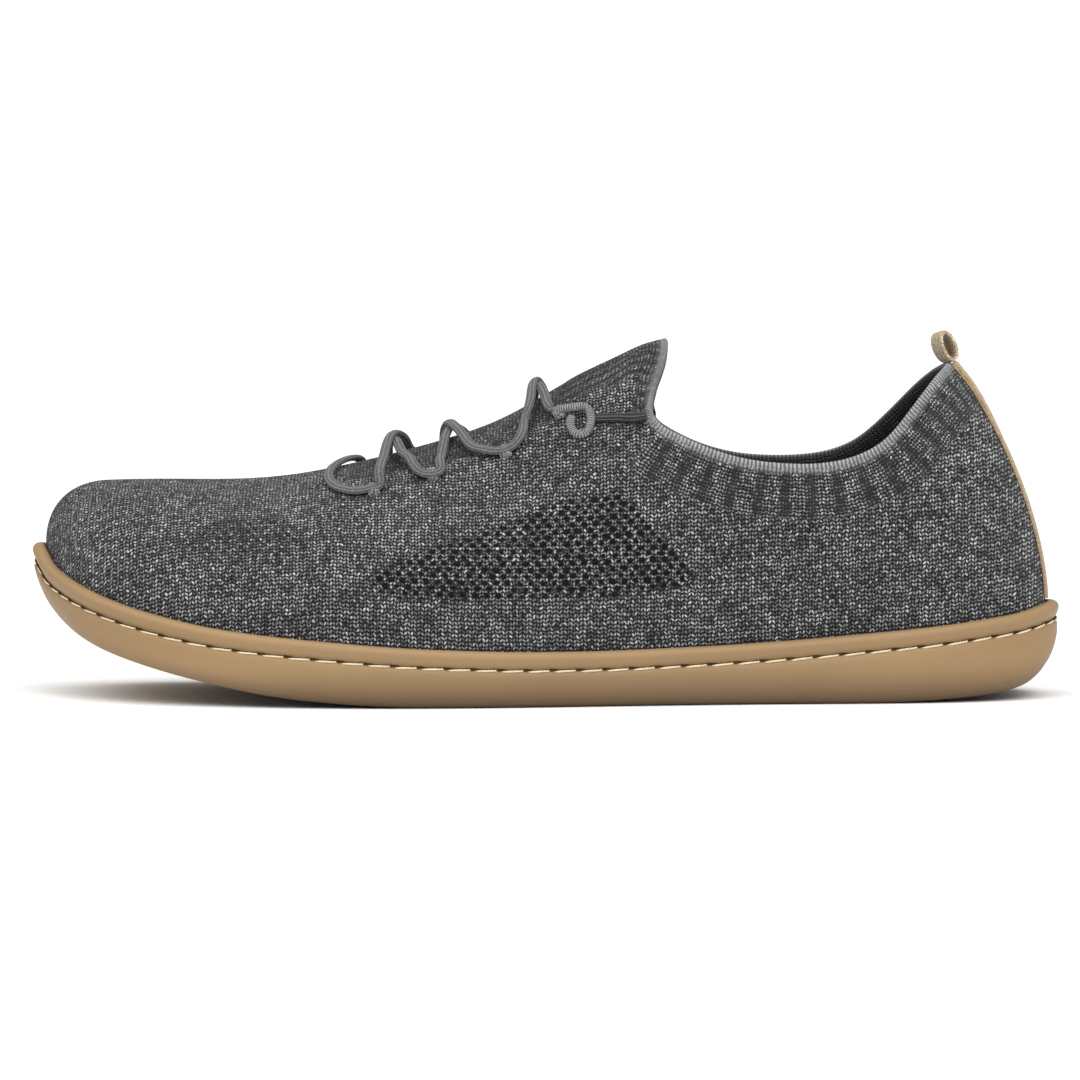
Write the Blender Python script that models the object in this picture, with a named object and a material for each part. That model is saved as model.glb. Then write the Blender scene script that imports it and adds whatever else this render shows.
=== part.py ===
"""A low barefoot shoe for the left foot: a one-piece knitted upper in a thin stitched cupsole.

The toe points to -X and the outer (lateral) side of the foot to -Y. The origin lies on the floor,
in the middle of the shoe's length and width.
"""

import math

import bpy
import numpy as np
from mathutils import Vector
from mathutils.bvhtree import BVHTree

for old in list(bpy.data.objects):
    bpy.data.objects.remove(old)

# Overall sizes, in metres
LENGTH = 0.280
BALL_WIDTH = 0.104
HEEL_WIDTH = 0.069
TOE_HEIGHT = 0.0585
TONGUE_HEIGHT = 0.0970
COLLAR_LOW = 0.0635
HEEL_HEIGHT = 0.0904
COLLAR_WIDTH = 0.068

# Sole
RIM_HEIGHT = 0.0148
TOE_RIM_RISE = 0.0262
HEEL_RIM_RISE = 0.0112
TOE_SPRING = 0.0340
HEEL_RISE = 0.0140
SOLE_WALL = 0.0030
SOLE_FLOOR = 0.0040
SOLE_EDGE_RADIUS = 0.0040
CUP_FILLET = 0.0020
GROOVE_DEPTH = 0.0005
GROOVE_DROP = 0.0045
GROOVE_WIDTH = 0.0016
BEAD_ROUND = 0.0012
INSOLE_THICKNESS = 0.0030

# Upper
KNIT_WALL = 0.0020
CLEARANCE = 0.0003
RIM_OVERLAP = 0.0015
EYESTAY_STEP = 0.0012
EYESTAY_FADE = 0.0160
EYESTAY_RUN_IN = 0.020
EYESTAY_RUN_OUT = 0.050
THROAT_HALF = 0.0215
COLLAR_BAND = 0.0140
THROAT_FRONT = 0.297
THROAT_BACK = 0.560
RIDGE_START = 0.075
TONGUE_TIP = 0.618
COLLAR_HEEL = 0.895
COLLAR_ROLL = 0.0006
TAB_START = 0.60
TAB_LEAN = 0.8

# Lace, pull loop and heel tape
LACE_WIDTH = 0.0026
LACE_THICKNESS = 0.0014
LACE_JOIN = 0.0003
LACE_GAP = 0.00036
CORD_DIAMETER = 0.0022
TAPE_WIDTH = 0.0100
TAPE_THICKNESS = 0.0011
LOOP_HEIGHT = 0.0090
LOOP_DEPTH = 0.0046
LOOP_LEAN = 22.0

# How finely the solids are faceted
PLAN_SAMPLES = 6000
SOLE_STEPS = 40
LID_SHARES = (0.25, 0.5, 0.75)
COLUMNS_PER_ROW = 2
SIDE_ROWS = 6
LINE_SAMPLES = 80
LACE_SIDES = 8
STRAND_POINTS = 11
KNOT_POINTS = 18
END_POINTS = 8
TAPE_ROWS = 20
TAPE_COLUMNS = 5
LOOP_STEPS = 20
SHARP_ANGLE = 50.0

# Rows of the knit from its top edge to the eyestay's step, as shares of the band's width
BAND_ROWS = (0.0, 0.16, 0.4, 0.7, 0.95, 1.02)

# Colours
RUBBER_COLOUR = (0.36, 0.235, 0.125)
INSOLE_COLOUR = (0.08, 0.08, 0.085)
KNIT_COLOUR = (0.13, 0.13, 0.135)
LACE_COLOUR = (0.15, 0.15, 0.155)
WEBBING_COLOUR = (0.42, 0.30, 0.17)

# Plan of the sole from the toe tip to the heel. Along is a share of LENGTH, lateral and medial
# are shares of BALL_WIDTH in front and of HEEL_WIDTH behind.
TIP_ACROSS = 0.13
FRONT_PLAN = (
    # along, lateral, medial
    (0.020, 0.070, 0.290),
    (0.060, 0.260, 0.390),
    (0.120, 0.385, 0.440),
    (0.200, 0.462, 0.468),
    (0.320, 0.505, 0.482),
    (0.440, 0.487, 0.430),
    (0.560, 0.430, 0.352),
)
REAR_PLAN = (
    # along, lateral, medial
    (0.700, 0.552, 0.475),
    (0.820, 0.505, 0.480),
    (0.900, 0.445, 0.440),
    (0.962, 0.315, 0.315),
    (0.991, 0.160, 0.160),
)

# Height of the rim's top edge above RIM_HEIGHT, as shares of the toe's and the heel's rise
RIM_TOE = (
    # along, rise
    (0.000, 1.000), (0.005, 0.943), (0.015, 0.810), (0.034, 0.687), (0.068, 0.540),
    (0.116, 0.388), (0.194, 0.222), (0.292, 0.112), (0.400, 0.030), (0.500, 0.000),
)
RIM_HEEL = (
    # distance from the heel, rise
    (0.000, 1.000), (0.012, 0.930), (0.037, 0.790), (0.075, 0.660), (0.114, 0.540),
    (0.192, 0.360), (0.270, 0.200), (0.350, 0.085), (0.470, 0.000),
)

# Height of the sole's underside, as shares of TOE_SPRING and HEEL_RISE
SPRING_TOE = (
    # along, rise
    (0.000, 1.000), (0.0054, 0.897), (0.0093, 0.835), (0.015, 0.756), (0.034, 0.600),
    (0.068, 0.444), (0.116, 0.312), (0.194, 0.159), (0.243, 0.085), (0.292, 0.041),
    (0.340, 0.014), (0.390, 0.000),
)
SPRING_HEEL = (
    # distance from the heel, rise
    (0.000, 1.000), (0.007, 0.750), (0.012, 0.640), (0.022, 0.450), (0.036, 0.286),
    (0.056, 0.180), (0.105, 0.070), (0.150, 0.020), (0.190, 0.000),
)

# The middle line over toes and instep to the tongue's tip. Height goes from TOE_HEIGHT at 0 to
# TONGUE_HEIGHT at 1, and across is a share of BALL_WIDTH towards the medial side.
RIDGE = (
    # along, height, across
    (0.075, -0.003, 0.080), (0.116, 0.004, 0.072), (0.165, 0.004, 0.062), (0.215, 0.012, 0.050),
    (0.262, 0.047, 0.040), (0.316, 0.125, 0.028), (0.365, 0.214, 0.018), (0.402, 0.291, 0.010),
    (0.439, 0.382, 0.005), (0.478, 0.512, 0.002), (0.509, 0.645, 0.000), (0.535, 0.751, 0.000),
    (0.574, 0.886, 0.000), (0.597, 0.962, 0.000), (0.618, 1.000, 0.000),
)

# The collar's edge from the tongue's tip to its lowest part, and on to the heel. Across is a
# share of half the COLLAR_WIDTH. Heights go from COLLAR_LOW at 0 to TONGUE_HEIGHT in front
# and HEEL_HEIGHT behind at 1.
TONGUE_EDGE = (
    # along, across, lateral height, medial height
    (0.6175, 0.28, 0.885, 0.885), (0.6110, 0.45, 0.755, 0.755), (0.6040, 0.57, 0.610, 0.610),
    (0.6020, 0.67, 0.465, 0.460), (0.6080, 0.76, 0.345, 0.335), (0.6250, 0.84, 0.250, 0.225),
    (0.6500, 0.92, 0.155, 0.120), (0.6900, 0.985, 0.050, 0.025),
)
HEEL_EDGE = (
    # along, across, lateral height, medial height
    (0.7300, 1.000, 0.010, 0.000), (0.7560, 0.985, 0.005, 0.010), (0.7820, 0.950, 0.035, 0.055),
    (0.8070, 0.890, 0.115, 0.165), (0.8270, 0.820, 0.240, 0.330), (0.8470, 0.720, 0.460, 0.540),
    (0.8660, 0.580, 0.700, 0.750), (0.8820, 0.400, 0.885, 0.905), (0.8920, 0.200, 0.975, 0.980),
)

# The knit's lines from the rim up to the ridge or the collar. Foot is the turn along the sole's
# side, 0 at the toe tip and 1 at the heel. Top runs 0 to 1 along the ridge and 1 to 2 along the
# collar. Leans are in degrees, pulls are shares of the line's straight length.
LINES = (
    # foot, top, foot lean, lateral pull, medial pull, top lean, top pull
    (0.000, 0.000, 4, 0.44, 0.44, 0, 0.440),
    (0.065, 0.006, 4, 0.44, 0.44, 0, 0.440),
    (0.125, 0.022, 5, 0.43, 0.45, 0, 0.430),
    (0.180, 0.060, 6, 0.42, 0.46, 0, 0.420),
    (0.240, 0.130, 7, 0.40, 0.46, 0, 0.410),
    (0.300, 0.250, 8, 0.38, 0.45, 0, 0.400),
    (0.370, 0.420, 8, 0.36, 0.43, 0, 0.360),
    (0.435, 0.600, 6, 0.35, 0.39, 0, 0.300),
    (0.497, 0.780, 4, 0.36, 0.37, 0, 0.250),
    (0.532, 0.920, 3, 0.40, 0.40, 0, 0.210),
    (0.549, 1.000, 3, 0.41, 0.41, 0, 0.200),
    (0.557, 1.070, 3, 0.39, 0.39, 32, 0.225),
    (0.566, 1.140, 3, 0.37, 0.37, 48, 0.255),
    (0.576, 1.200, 4, 0.35, 0.35, 58, 0.280),
    (0.588, 1.270, 4, 0.34, 0.34, 67, 0.300),
    (0.603, 1.340, 5, 0.335, 0.335, 74, 0.320),
    (0.623, 1.410, 5, 0.335, 0.335, 78, 0.330),
    (0.663, 1.530, 5, 0.33, 0.33, 80, 0.330),
    (0.709, 1.650, 4, 0.33, 0.33, 77, 0.330),
    (0.765, 1.770, 3, 0.33, 0.33, 68, 0.300),
    (0.835, 1.875, 1, 0.34, 0.34, 56, 0.250),
    (0.915, 1.945, 0, 0.34, 0.34, 47, 0.215),
    (1.000, 2.000, 0, 0.34, 0.34, 43, 0.200),
)
TIP_ROW = 10

# The pairs of knitted bridges that carry the lace, from the toe up. The lace arrives and leaves
# at shares of LENGTH, across is a share of THROAT_HALF. Each crossing behind a pair leans towards
# the next one as its turn says and stands clear of the ridge by its arch, in metres.
BRIDGES = (
    # arrives, leaves, across, turn, arch
    (0.3310, 0.3420, 1.16, 1.5, 0.0022),
    (0.3850, 0.4010, 1.09, 2.3, 0.0009),
    (0.4560, 0.4690, 0.99, 0.6, 0.0016),
    (0.5150, 0.5150, 0.78, 1.0, 0.0000),
)

# The bar in front of the first bridges, from the lateral to the medial side
FRONT_BAR = (
    # along, share of THROAT_HALF across, lift
    (0.3200, -1.18, 0.0000), (0.3030, -1.00, 0.0000), (0.2930, -0.68, 0.0002),
    (0.2960, -0.34, 0.0004), (0.3060, 0.00, 0.0004), (0.3160, 0.36, 0.0003),
    (0.3220, 0.74, 0.0001), (0.3260, 1.06, 0.0000),
)

# The small loop of the knot beside the last bridge, and the lace's end beyond it
KNOT = (
    # along, share of THROAT_HALF across
    (0.5190, 0.86), (0.5300, 0.80), (0.5410, 0.76), (0.5462, 0.88), (0.5455, 1.00),
    (0.5405, 1.08), (0.5335, 1.11), (0.5265, 1.05), (0.5230, 0.96),
)
LACE_END = (
    # along, share of THROAT_HALF across
    (0.5525, 0.95), (0.5680, 1.02), (0.5860, 1.09), (0.5975, 1.15),
)

LATERAL, MEDIAL = -1, 1


def steady(rows):
    """A curve through the rows that never overshoots them (monotone cubic)."""
    x, y = np.array(rows, float).T
    step = np.diff(x)
    slope = np.diff(y) / step
    tangent = np.zeros(len(x))
    for i in range(1, len(x) - 1):
        if slope[i - 1] * slope[i] > 0:
            a = 2 * step[i] + step[i - 1]
            b = step[i] + 2 * step[i - 1]
            tangent[i] = (a + b) / (a / slope[i - 1] + b / slope[i])
    tangent[0] = slope[0]

    def at(value):
        v = np.clip(value, x[0], x[-1])
        i = np.clip(np.searchsorted(x, v, side="right") - 1, 0, len(step) - 1)
        u = (v - x[i]) / step[i]
        rest = (1 - u) ** 2
        return (y[i] * rest * (1 + 2 * u) + step[i] * tangent[i] * u * rest
                + y[i + 1] * u * u * (3 - 2 * u) - step[i] * tangent[i + 1] * u * u * (1 - u))

    return at


def smooth(knots, values, closed=False):
    """A cubic spline through the values, natural at its ends, or closed after the last knot."""
    x = np.array(knots, float)
    y = np.array(values, float)
    if y.ndim == 1:
        y = y[:, None]
    if closed:
        y = np.vstack([y, y[:1]])
    step = np.diff(x)
    n = len(x)
    matrix = np.zeros((n, n))
    right = np.zeros((n, y.shape[1]))
    for i in range(1, n - 1):
        matrix[i, i - 1:i + 2] = step[i - 1], 2 * (step[i - 1] + step[i]), step[i]
        right[i] = 6 * ((y[i + 1] - y[i]) / step[i] - (y[i] - y[i - 1]) / step[i - 1])
    if closed:
        matrix[0, 0], matrix[0, -1] = 1, -1
        matrix[-1, 0], matrix[-1, 1] = 2 * step[0], step[0]
        matrix[-1, -2], matrix[-1, -1] = step[-1], 2 * step[-1]
        right[-1] = 6 * ((y[1] - y[0]) / step[0] - (y[-1] - y[-2]) / step[-1])
    else:
        matrix[0, 0] = matrix[-1, -1] = 1
    bend = np.linalg.solve(matrix, right)

    def at(value):
        v = np.atleast_1d(np.array(value, float))
        if closed:
            v = x[0] + (v - x[0]) % (x[-1] - x[0])
        i = np.clip(np.searchsorted(x, v, side="right") - 1, 0, n - 2)
        h = step[i][:, None]
        a = (x[i + 1] - v)[:, None] / h
        b = 1 - a
        return (a * y[i] + b * y[i + 1]
                + ((a ** 3 - a) * bend[i] + (b ** 3 - b) * bend[i + 1]) * h * h / 6)

    return at


def spaced(points):
    """Running length along a row of points."""
    return np.concatenate([[0], np.cumsum(np.linalg.norm(np.diff(points, axis=0), axis=1))])


def ramp(low, high, value):
    """A soft step from 0 at low to 1 at high."""
    u = np.clip((value - low) / (high - low), 0, 1)
    return u * u * (3 - 2 * u)


# Plan of the sole
def plan_curve():
    """The sole's outer edge for each side, and how far the foot's middle line lies across.

    Each side has its turns, its points and its outward directions.
    """
    sides = []
    for side in (LATERAL, MEDIAL):
        column = 1 if side == LATERAL else 2
        rows = [(row[0] * LENGTH, side * row[column] * BALL_WIDTH) for row in FRONT_PLAN]
        rows += [(row[0] * LENGTH, side * row[column] * HEEL_WIDTH) for row in REAR_PLAN]
        sides.append(rows)
    tip = [(0.0, TIP_ACROSS * BALL_WIDTH)]
    corners = np.array(tip + sides[0] + [(LENGTH, 0.0)] + sides[1][::-1])
    knots = spaced(np.vstack([corners, corners[:1]]))
    curve = smooth(knots, corners, closed=True)
    turn = np.linspace(0, knots[-1], PLAN_SAMPLES, endpoint=False)
    points = curve(turn)
    low, high = points.min(axis=0), points.max(axis=0)
    points[:, 0] = ((points[:, 0] - low[0]) / (high[0] - low[0]) - 0.5) * LENGTH
    points[:, 1] -= (low[1] + high[1]) / 2
    points = np.roll(points, -int(np.argmin(points[:, 0])), axis=0)
    tangent = np.roll(points, -1, axis=0) - np.roll(points, 1, axis=0)
    tangent /= np.linalg.norm(tangent, axis=1)[:, None]
    outward = np.stack([tangent[:, 1], -tangent[:, 0]], axis=1)
    heel = int(np.argmax(points[:, 0]))
    result = {}
    for side in (LATERAL, MEDIAL):
        if side == LATERAL:
            index = np.arange(0, heel + 1)
        else:
            index = np.concatenate([[0], np.arange(len(points) - 1, heel - 1, -1)])
        share = np.clip(points[index, 0] / LENGTH + 0.5, 0, 1)
        angle = np.arccos(1 - 2 * share) / math.pi
        angle[0], angle[-1] = 0, 1
        result[side] = (angle, points[index], outward[index])
    return result, -(low[1] + high[1]) / 2


PLAN, MIDDLE = plan_curve()


def edge(side, turn, inset=0.0):
    """Plan point on the sole's outer edge moved inwards, and the outward direction there."""
    angle, points, outward = PLAN[side]
    place = np.array([np.interp(turn, angle, points[:, k]) for k in (0, 1)])
    out = np.array([np.interp(turn, angle, outward[:, k]) for k in (0, 1)])
    out /= np.linalg.norm(out)
    return place - out * inset, out


def share_at(x):
    """How far along the shoe a place lies, from 0 at the toe to 1 at the heel."""
    return x / LENGTH + 0.5


RIM_TOE_AT, RIM_HEEL_AT = steady(RIM_TOE), steady(RIM_HEEL)
SPRING_TOE_AT, SPRING_HEEL_AT = steady(SPRING_TOE), steady(SPRING_HEEL)


def rim(x):
    """Height of the rim's top edge."""
    s = share_at(x)
    return RIM_HEIGHT + TOE_RIM_RISE * RIM_TOE_AT(s) + HEEL_RIM_RISE * RIM_HEEL_AT(1 - s)


def underside(x):
    """Height of the sole's underside along its middle."""
    s = share_at(x)
    return TOE_SPRING * SPRING_TOE_AT(s) + HEEL_RISE * SPRING_HEEL_AT(1 - s)


def cup_floor(x):
    """Height of the floor inside the sole."""
    return underside(x) + SOLE_FLOOR


def around(steps):
    """Turns once round the plan: out along the lateral side and back along the medial one."""
    turns = np.linspace(0, 1, steps + 1)
    return [(LATERAL, t) for t in turns[:-1]] + [(MEDIAL, t) for t in turns[:0:-1]]


# Meshes
def material(name, colour, roughness):
    made = bpy.data.materials.new(name)
    made.use_nodes = True
    shader = made.node_tree.nodes["Principled BSDF"]
    shader.inputs["Base Color"].default_value = (*colour, 1)
    shader.inputs["Roughness"].default_value = roughness
    shader.inputs["Metallic"].default_value = 0
    return made


def add_mesh(name, points, faces, finish):
    mesh = bpy.data.meshes.new(name)
    mesh.from_pydata([tuple(p) for p in points], [], faces)
    mesh.materials.append(finish)
    mesh.shade_smooth()
    mesh.set_sharp_from_angle(angle=math.radians(SHARP_ANGLE))
    made = bpy.data.objects.new(name, mesh)
    bpy.context.scene.collection.objects.link(made)
    return made


def ring_faces(first, second, count):
    """Faces between two rings of points, given by their first numbers."""
    return [(first + i, first + (i + 1) % count, second + (i + 1) % count, second + i)
            for i in range(count)]


def lid(points, first, steps, height, upwards):
    """Closes a ring of the plan with rows that run across it, and returns new points and faces."""
    count = 2 * steps
    added, faces = [], []
    number = {}
    for i in range(1, steps):
        left, right = points[first + i], points[first + count - i]
        row = [first + i]
        for share in LID_SHARES:
            place = left + (right - left) * share
            place = np.array([place[0], place[1], height(place[0])])
            row.append(len(points) + len(added))
            added.append(place)
        row.append(first + count - i)
        number[i] = row
    for i in range(1, steps - 1):
        for a, b, c, d in zip(number[i], number[i][1:], number[i + 1][1:], number[i + 1]):
            faces.append((a, b, c, d))
    for tip, row, flip in ((first, number[1], False), (first + steps, number[steps - 1], True)):
        for a, b in zip(row, row[1:]):
            faces.append((tip, a, b) if flip else (tip, b, a))
    if upwards:
        faces = [face[::-1] for face in faces]
    return added, faces


# Outsole
def outsole_rings(steps):
    """Rings of the cupsole from its flat underside out, up over the rim and down into the cup."""
    low_share = (1.0, 0.62, 0.32, 0.1, 0.0)
    rings = []
    stations = around(steps)
    plain = [edge(side, turn)[0] for side, turn in stations]
    top = [rim(p[0]) for p in plain]
    groove_low = GROOVE_DROP + GROOVE_WIDTH
    radius = [min(SOLE_EDGE_RADIUS, 0.9 * (h - underside(p[0]) - groove_low))
              for p, h in zip(plain, top)]

    def ring(inset, height):
        points = []
        for i, (side, turn) in enumerate(stations):
            depth = inset(i) if callable(inset) else inset
            place, _ = edge(side, turn, depth)
            points.append(np.array([place[0], place[1], height(i, place[0])]))
        rings.append(points)

    for share in low_share:
        def lifted(i, x, share=share):
            lean = 1 - share
            return underside(x) + radius[i] * (1 - math.sqrt(1 - lean * lean))
        ring(lambda i, share=share: radius[i] * share, lifted)
    for drop, inset in (
        # drop below the rim's top edge, inset from the sole's outer face
        (groove_low, 0.0),
        (GROOVE_DROP + 0.6 * GROOVE_WIDTH, GROOVE_DEPTH),
        (GROOVE_DROP - 0.1 * GROOVE_WIDTH, GROOVE_DEPTH),
        (GROOVE_DROP - 0.6 * GROOVE_WIDTH, 0.0),
        (BEAD_ROUND, 0.0),
        (0.3 * BEAD_ROUND, 0.3 * BEAD_ROUND),
        (0.0, BEAD_ROUND),
        (0.0, SOLE_WALL - 0.4 * BEAD_ROUND),
        (0.4 * BEAD_ROUND, SOLE_WALL),
    ):
        ring(inset, lambda i, x, drop=drop: top[i] - drop)
    ring(SOLE_WALL, lambda i, x: cup_floor(x) + CUP_FILLET)
    corner = 1 - math.sqrt(0.5)
    ring(SOLE_WALL + corner * CUP_FILLET, lambda i, x: cup_floor(x) + corner * CUP_FILLET)
    ring(SOLE_WALL + CUP_FILLET, lambda i, x: cup_floor(x))
    return rings


def build_outsole():
    """The cupsole: a flat bottom with a low wall, a stitching groove and a rounded rim."""
    steps = SOLE_STEPS
    count = 2 * steps
    rings = outsole_rings(steps)
    points = [p for ring in rings for p in ring]
    faces = []
    for k in range(len(rings) - 1):
        faces += ring_faces(k * count, (k + 1) * count, count)
    added, lower = lid(points, 0, steps, underside, upwards=False)
    points += added
    added, upper = lid(points, (len(rings) - 1) * count, steps, cup_floor, upwards=True)
    points += added
    rubber = material("outsole_rubber", RUBBER_COLOUR, 0.55)
    return add_mesh("outsole", points, faces + lower + upper, rubber)


# Insole
def build_insole():
    """The thin sheet that lies in the cup, inside the foot of the upper."""
    steps = SOLE_STEPS // 2
    count = 2 * steps
    inset = SOLE_WALL + KNIT_WALL + 2 * CLEARANCE
    bevel = 0.25 * INSOLE_THICKNESS
    levels = (
        (inset + bevel, 0.0),
        (inset, bevel),
        (inset, INSOLE_THICKNESS - bevel),
        (inset + bevel, INSOLE_THICKNESS),
    )
    points, faces = [], []
    for depth, height in levels:
        for side, turn in around(steps):
            place, _ = edge(side, turn, depth)
            points.append(np.array([*place, cup_floor(place[0]) + CLEARANCE + height]))
    for k in range(len(levels) - 1):
        faces += ring_faces(k * count, (k + 1) * count, count)

    def bottom(x):
        return cup_floor(x) + CLEARANCE

    def top(x):
        return cup_floor(x) + CLEARANCE + INSOLE_THICKNESS

    added, lower = lid(points, 0, steps, bottom, upwards=False)
    points += added
    added, upper = lid(points, (len(levels) - 1) * count, steps, top, upwards=True)
    points += added
    foam = material("insole_fabric", INSOLE_COLOUR, 0.9)
    return add_mesh("insole", points, faces + lower + upper, foam)


# Upper
RIDGE_AT = smooth([row[0] for row in RIDGE], [row[1:] for row in RIDGE])


def ridge_point(share):
    """A place on the middle line over the toes and the instep."""
    height, across = RIDGE_AT(share)[0]
    return np.array([
        (share - 0.5) * LENGTH,
        MIDDLE + across * BALL_WIDTH,
        TOE_HEIGHT + height * (TONGUE_HEIGHT - TOE_HEIGHT),
    ])


def collar_curve():
    """The collar's closed edge: 0 at the tongue's tip, 1 at the heel, 2 at the tip again."""
    corners = [ridge_point(TONGUE_TIP)]
    halves = []
    for side, column in ((LATERAL, 2), (MEDIAL, 3)):
        half = []
        for table, top in ((TONGUE_EDGE, TONGUE_HEIGHT), (HEEL_EDGE, HEEL_HEIGHT)):
            for row in table:
                half.append(np.array([
                    (row[0] - 0.5) * LENGTH,
                    MIDDLE + side * row[1] * COLLAR_WIDTH / 2,
                    COLLAR_LOW + row[column] * (top - COLLAR_LOW),
                ]))
        halves.append(half)
    heel = np.array([(COLLAR_HEEL - 0.5) * LENGTH, MIDDLE, HEEL_HEIGHT])
    tip = corners[0]
    out = spaced(np.array([tip] + halves[0] + [heel]))
    back = spaced(np.array([heel] + halves[1][::-1] + [tip]))
    knots = np.concatenate([out / out[-1], 1 + back[1:] / back[-1]])
    values = [tip] + halves[0] + [heel] + halves[1][::-1]
    return smooth(knots, values, closed=True)


COLLAR_AT = collar_curve()
LINES_AT = smooth(range(len(LINES)), LINES)


def top_point(side, top):
    """Where a line ends on the ridge or the collar, its plan heading and its slope there."""
    if top <= 1:
        share = RIDGE_START + top * (TONGUE_TIP - RIDGE_START)
        place = ridge_point(share)
        step = 0.002
        ahead, behind = ridge_point(share + step), ridge_point(share - step)
        slope = (ahead[2] - behind[2]) / (ahead[0] - behind[0])
        heading = np.array([TAB_LEAN * ramp(TAB_START, 1.0, top), -side])
        return place, heading / np.linalg.norm(heading), slope
    turn = (top - 1) if side == LATERAL else (3 - top)
    place = COLLAR_AT(turn)[0]
    step = 0.004
    tangent = (COLLAR_AT(turn + step) - COLLAR_AT(turn - step))[0]
    if side == MEDIAL:
        tangent = -tangent
    ahead = max(tangent[0], 0.02 * np.linalg.norm(tangent))
    inward = np.array([min(side * tangent[1], TAB_LEAN * ahead), -side * ahead])
    return place, inward / np.linalg.norm(inward), 0.0


def knit_line(side, column):
    """One line of the knit from its foot in the cup to its top: points and running length."""
    foot, top, foot_lean, lateral, medial, top_lean, top_pull = LINES_AT(column)[0]
    foot = min(max(foot, 0.0), 1.0)
    top = min(max(top, 0.0), 2.0)
    pull = lateral if side == LATERAL else medial
    place, out = edge(side, foot, SOLE_WALL + CLEARANCE)
    start = np.array([*place, rim(edge(side, foot)[0][0]) - RIM_OVERLAP])
    end, heading, slope = top_point(side, top)
    plan = end[:2] - start[:2]
    straight = plan / np.linalg.norm(plan)
    keep = ramp(4, 6, column)
    heading = heading * keep + straight * (1 - keep)
    heading /= np.linalg.norm(heading)
    reach = np.linalg.norm(end - start)
    a, b = math.radians(foot_lean), math.radians(top_lean)
    leave = np.array([*(out * math.sin(a)), math.cos(a)])
    arrive = np.array([*(heading * math.cos(b)), math.sin(b) + slope * heading[0]])
    arrive /= np.linalg.norm(arrive)
    p1 = start + leave * pull * reach
    p2 = end - arrive * top_pull * reach
    t = np.linspace(1, 0, LINE_SAMPLES)[:, None]
    points = ((1 - t) ** 3 * start + 3 * (1 - t) ** 2 * t * p1
              + 3 * (1 - t) * t * t * p2 + t ** 3 * end)
    foot_height = cup_floor(place[0]) + CUP_FILLET + CLEARANCE
    below = np.array([*place, foot_height])
    return points, spaced(points), below


def band_width(column):
    """Distance from the top edge to the eyestay's step or the collar's rib end."""
    return THROAT_HALF + (COLLAR_BAND - THROAT_HALF) * ramp(TIP_ROW - 4, TIP_ROW + 4, column)


def column_points(side, column, side_rows):
    """Points down one line: rows within the band, then rows to the rim, then the foot."""
    points, run, below = knit_line(side, column)
    band = band_width(column)
    distances = [share * band for share in BAND_ROWS]
    last = distances[-1]
    for k in range(1, side_rows + 1):
        distances.append(last + (run[-1] - last) * k / side_rows)
    placed = [np.array([np.interp(d, run, points[:, k]) for k in range(3)]) for d in distances]
    foot_run = run[-1] + np.linalg.norm(below - points[-1])
    return placed + [below], distances + [foot_run]


def upper_grid(per_row, side_rows):
    """Outer surface of the upper: points, faces, and each point's column and distance."""
    columns = np.linspace(0, len(LINES) - 1, (len(LINES) - 1) * per_row + 1)
    rows = len(BAND_ROWS) + side_rows + 1
    points, marks, number = [], [], {}
    for side in (LATERAL, MEDIAL):
        for c, column in enumerate(columns):
            ends = c in (0, len(columns) - 1)
            placed, distances = column_points(side, column, side_rows)
            for r in range(rows):
                shared = side == MEDIAL and (ends or (r == 0 and column <= TIP_ROW))
                if shared:
                    number[side, c, r] = number[LATERAL, c, r]
                    continue
                number[side, c, r] = len(points)
                points.append(placed[r])
                marks.append((column, distances[r]))
    faces = []
    for side in (LATERAL, MEDIAL):
        for c in range(len(columns) - 1):
            for r in range(rows - 1):
                quad = [number[side, c, r], number[side, c, r + 1],
                        number[side, c + 1, r + 1], number[side, c + 1, r]]
                faces.append(tuple(quad if side == LATERAL else quad[::-1]))
    top = [c for c in range(len(columns)) if columns[c] >= TIP_ROW]
    collar = [number[LATERAL, c, 0] for c in top] + [number[MEDIAL, c, 0] for c in top[-2:0:-1]]
    feet = ([number[LATERAL, c, rows - 1] for c in range(len(columns))]
            + [number[MEDIAL, c, rows - 1] for c in range(len(columns) - 2, 0, -1)])
    return np.array(points), faces, marks, collar, feet


def normals(points, faces):
    """Outward direction at each point, from the faces around it."""
    total = np.zeros_like(points)
    for face in faces:
        corners = points[list(face)]
        direction = np.cross(corners[2] - corners[0], corners[-1] - corners[1])
        for i in face:
            total[i] += direction
    return total / np.linalg.norm(total, axis=1)[:, None]


def eyestay_rise(column, distance):
    """How far the eyestay stands over the tongue between the laces."""
    top = float(LINES_AT(column)[0][1])
    share = RIDGE_START + top * (TONGUE_TIP - RIDGE_START)
    along = ramp(THROAT_FRONT, THROAT_FRONT + EYESTAY_RUN_IN, share)
    along *= 1 - ramp(THROAT_BACK - 0.6 * EYESTAY_RUN_OUT, THROAT_BACK + 0.4 * EYESTAY_RUN_OUT, share)
    low, high = (row * band_width(column) for row in BAND_ROWS[-2:])
    across = ramp(low, high, distance) * (1 - ramp(high, high + EYESTAY_FADE, distance))
    return EYESTAY_STEP * along * across


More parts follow.
